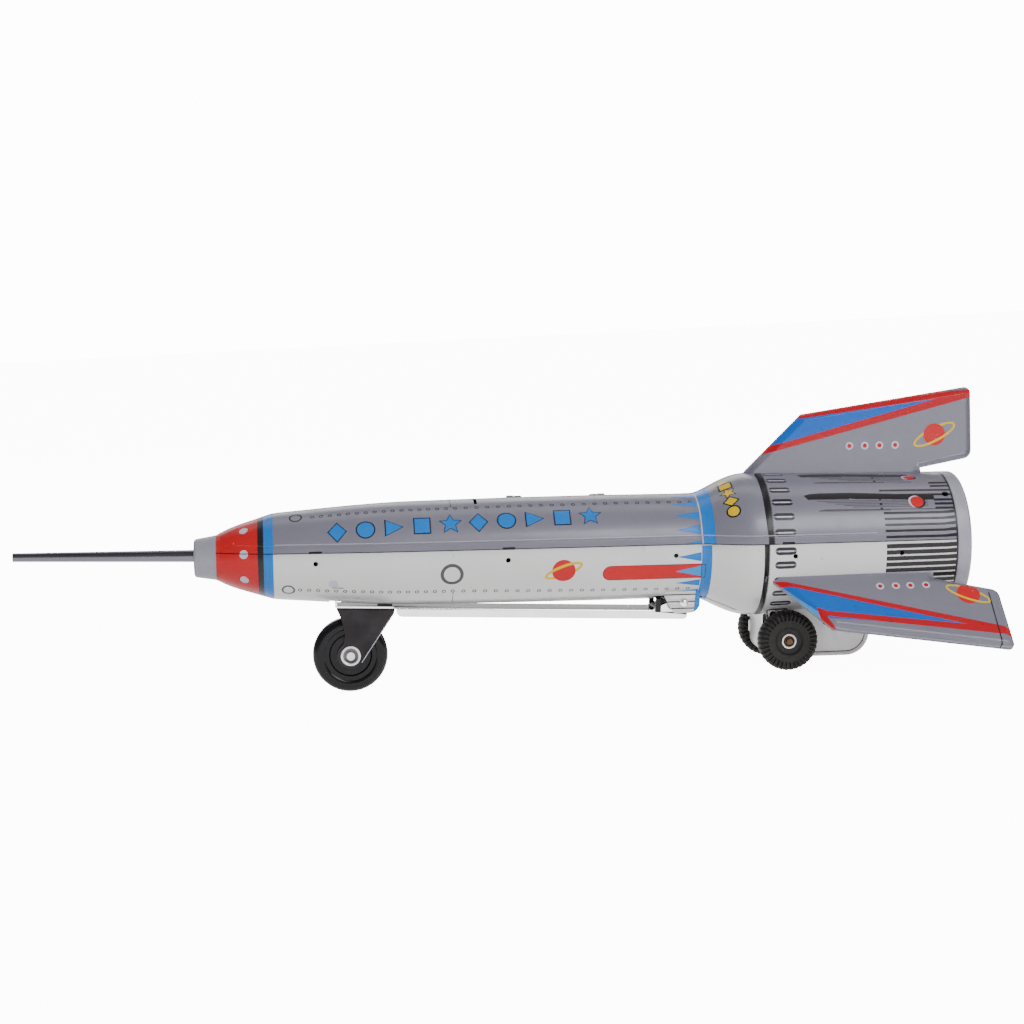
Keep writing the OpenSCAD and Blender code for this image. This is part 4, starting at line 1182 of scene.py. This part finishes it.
CARRIED = (
    (STEEL, ("latch_bracket", "latch_pin", "hatch_pins", "motor_spacers", "probe_rod", "latch_lever",
             "idler_shaft", "flywheel_shaft")),
    (BRASS, ("axle_bushes", "axle_gear", "idler_gear", "idler_pinion", "flywheel_pinion")),
    (DARK_STEEL, ("probe_guide", "flywheel")),
    (CHROME, ("arm_pivot_pin",)),
    (RUBBER, ("arm_stop",)),
    (WHITE_METAL, ("front_axle",)),
    (BROWNED, ("rear_axle",)),
)
for material, carried in CARRIED:
    for mesh in [NODES[name].data for name in carried]:
        mesh.materials.clear()
        mesh.materials.append(material)

# ---------------------------------------------------------------- camera, light and floor

scene = bpy.context.scene
lens = bpy.data.cameras.new("photo_camera")
lens.sensor_width = 36
lens.lens = 73.73
camera = bpy.data.objects.new("photo_camera", lens)
view_right = Vector((0.9931, -0.10666, -0.04868)).normalized()
view_ahead = Vector((0.10107, 0.98926, -0.10563)).normalized()
view_up = view_right.cross(view_ahead).normalized()
view_right = view_ahead.cross(view_up)
camera.matrix_world = Matrix.Translation(Vector((-80.26, -821.6, 154.98)) * MM) \
    @ Matrix((view_right, view_up, -view_ahead)).transposed().to_4x4()
scene.collection.objects.link(camera)
scene.camera = camera


def softbox(name, place, target, size, power):
    light = bpy.data.lights.new(name, "AREA")
    light.shape = "RECTANGLE"
    light.size, light.size_y = size
    light.energy = power
    lamp_object = bpy.data.objects.new(name, light)
    lamp_object.location = place
    lamp_object.rotation_euler = (Vector(target) - Vector(place)).to_track_quat("-Z", "Y").to_euler()
    scene.collection.objects.link(lamp_object)
    return lamp_object


softbox("key", (0.6, -1.0, 0.85), (0.04, 0, 0.05), (0.9, 0.5), 14)
softbox("overhead", (0.1, 0.3, 1.2), (0, 0, 0.05), (1.5, 0.35), 4)
softbox("low_front", (0.1, -1.1, 0.04), (0.05, 0, 0.05), (1.8, 0.22), 8.5).visible_glossy = False
softbox("back", (0, 1.1, 0.7), (0, 0, 0.06), (1.4, 0.5), 7)

# The camera sees a white background; the rocket is lit by a dimmer one.
world = bpy.data.worlds.new("studio")
scene.world = world
world.use_nodes = True
air = world.node_tree
air.nodes.clear()
ways = node(air, "TexCoord", {}).outputs["Generated"]
height = node(air, "SeparateXYZ", {"Vector": ways}).outputs["Z"]
sky = node(air, "ValToRGB", {"Fac": height})
sky.color_ramp.elements[0].position = 0.0
sky.color_ramp.elements[0].color = (0.75, 0.74, 0.72, 1)
sky.color_ramp.elements[1].position = 0.6
sky.color_ramp.elements[1].color = (0.3, 0.3, 0.36, 1)
lit = node(air, "Background", {"Color": sky.outputs["Color"], "Strength": 0.8}).outputs["Background"]
seen = node(air, "Background", {"Color": (1, 1, 1, 1), "Strength": 14.0}).outputs["Background"]
to_camera = node(air, "LightPath", {}).outputs["Is Camera Ray"]
choice = node(air, "MixShader", {"Fac": to_camera, 1: lit, 2: seen})
node(air, "OutputWorld", {"Surface": choice.outputs["Shader"]})

floor_mesh = bpy.data.meshes.new("floor")
floor_mesh.from_pydata([(-6, -6, 0), (6, -6, 0), (6, 6, 0), (-6, 6, 0)], [], [(0, 1, 2, 3)])
floor = bpy.data.objects.new("floor", floor_mesh)
scene.collection.objects.link(floor)
# The floor glows to the camera, and less to mirror reflections, so that it blends into the background.
paper = bpy.data.materials.new("studio_paper")
paper.use_nodes = True
tree = paper.node_tree
matt = tree.nodes["Principled BSDF"]
matt.inputs["Base Color"].default_value = (0.85, 0.85, 0.85, 1)
matt.inputs["Roughness"].default_value = 0.8
rays = node(tree, "LightPath", {}).outputs
strength = node(tree, "Math", {0: rays["Is Camera Ray"], 1: 10.5, 2: 1.5}, operation="MULTIPLY_ADD")
glow = node(tree, "Emission", {"Strength": strength.outputs["Value"]})
glowing = node(tree, "AddShader", {0: glow.outputs["Emission"], 1: matt.outputs["BSDF"]})
looked_at = node(tree, "Math", {0: rays["Is Camera Ray"], 1: rays["Is Glossy Ray"]}, operation="MAXIMUM")
choice = node(tree, "MixShader", {"Fac": looked_at.outputs["Value"], 1: matt.outputs["BSDF"],
                                  2: glowing.outputs["Shader"]})
tree.links.new(choice.outputs["Shader"], tree.nodes["Material Output"].inputs["Surface"])
floor_mesh.materials.append(paper)
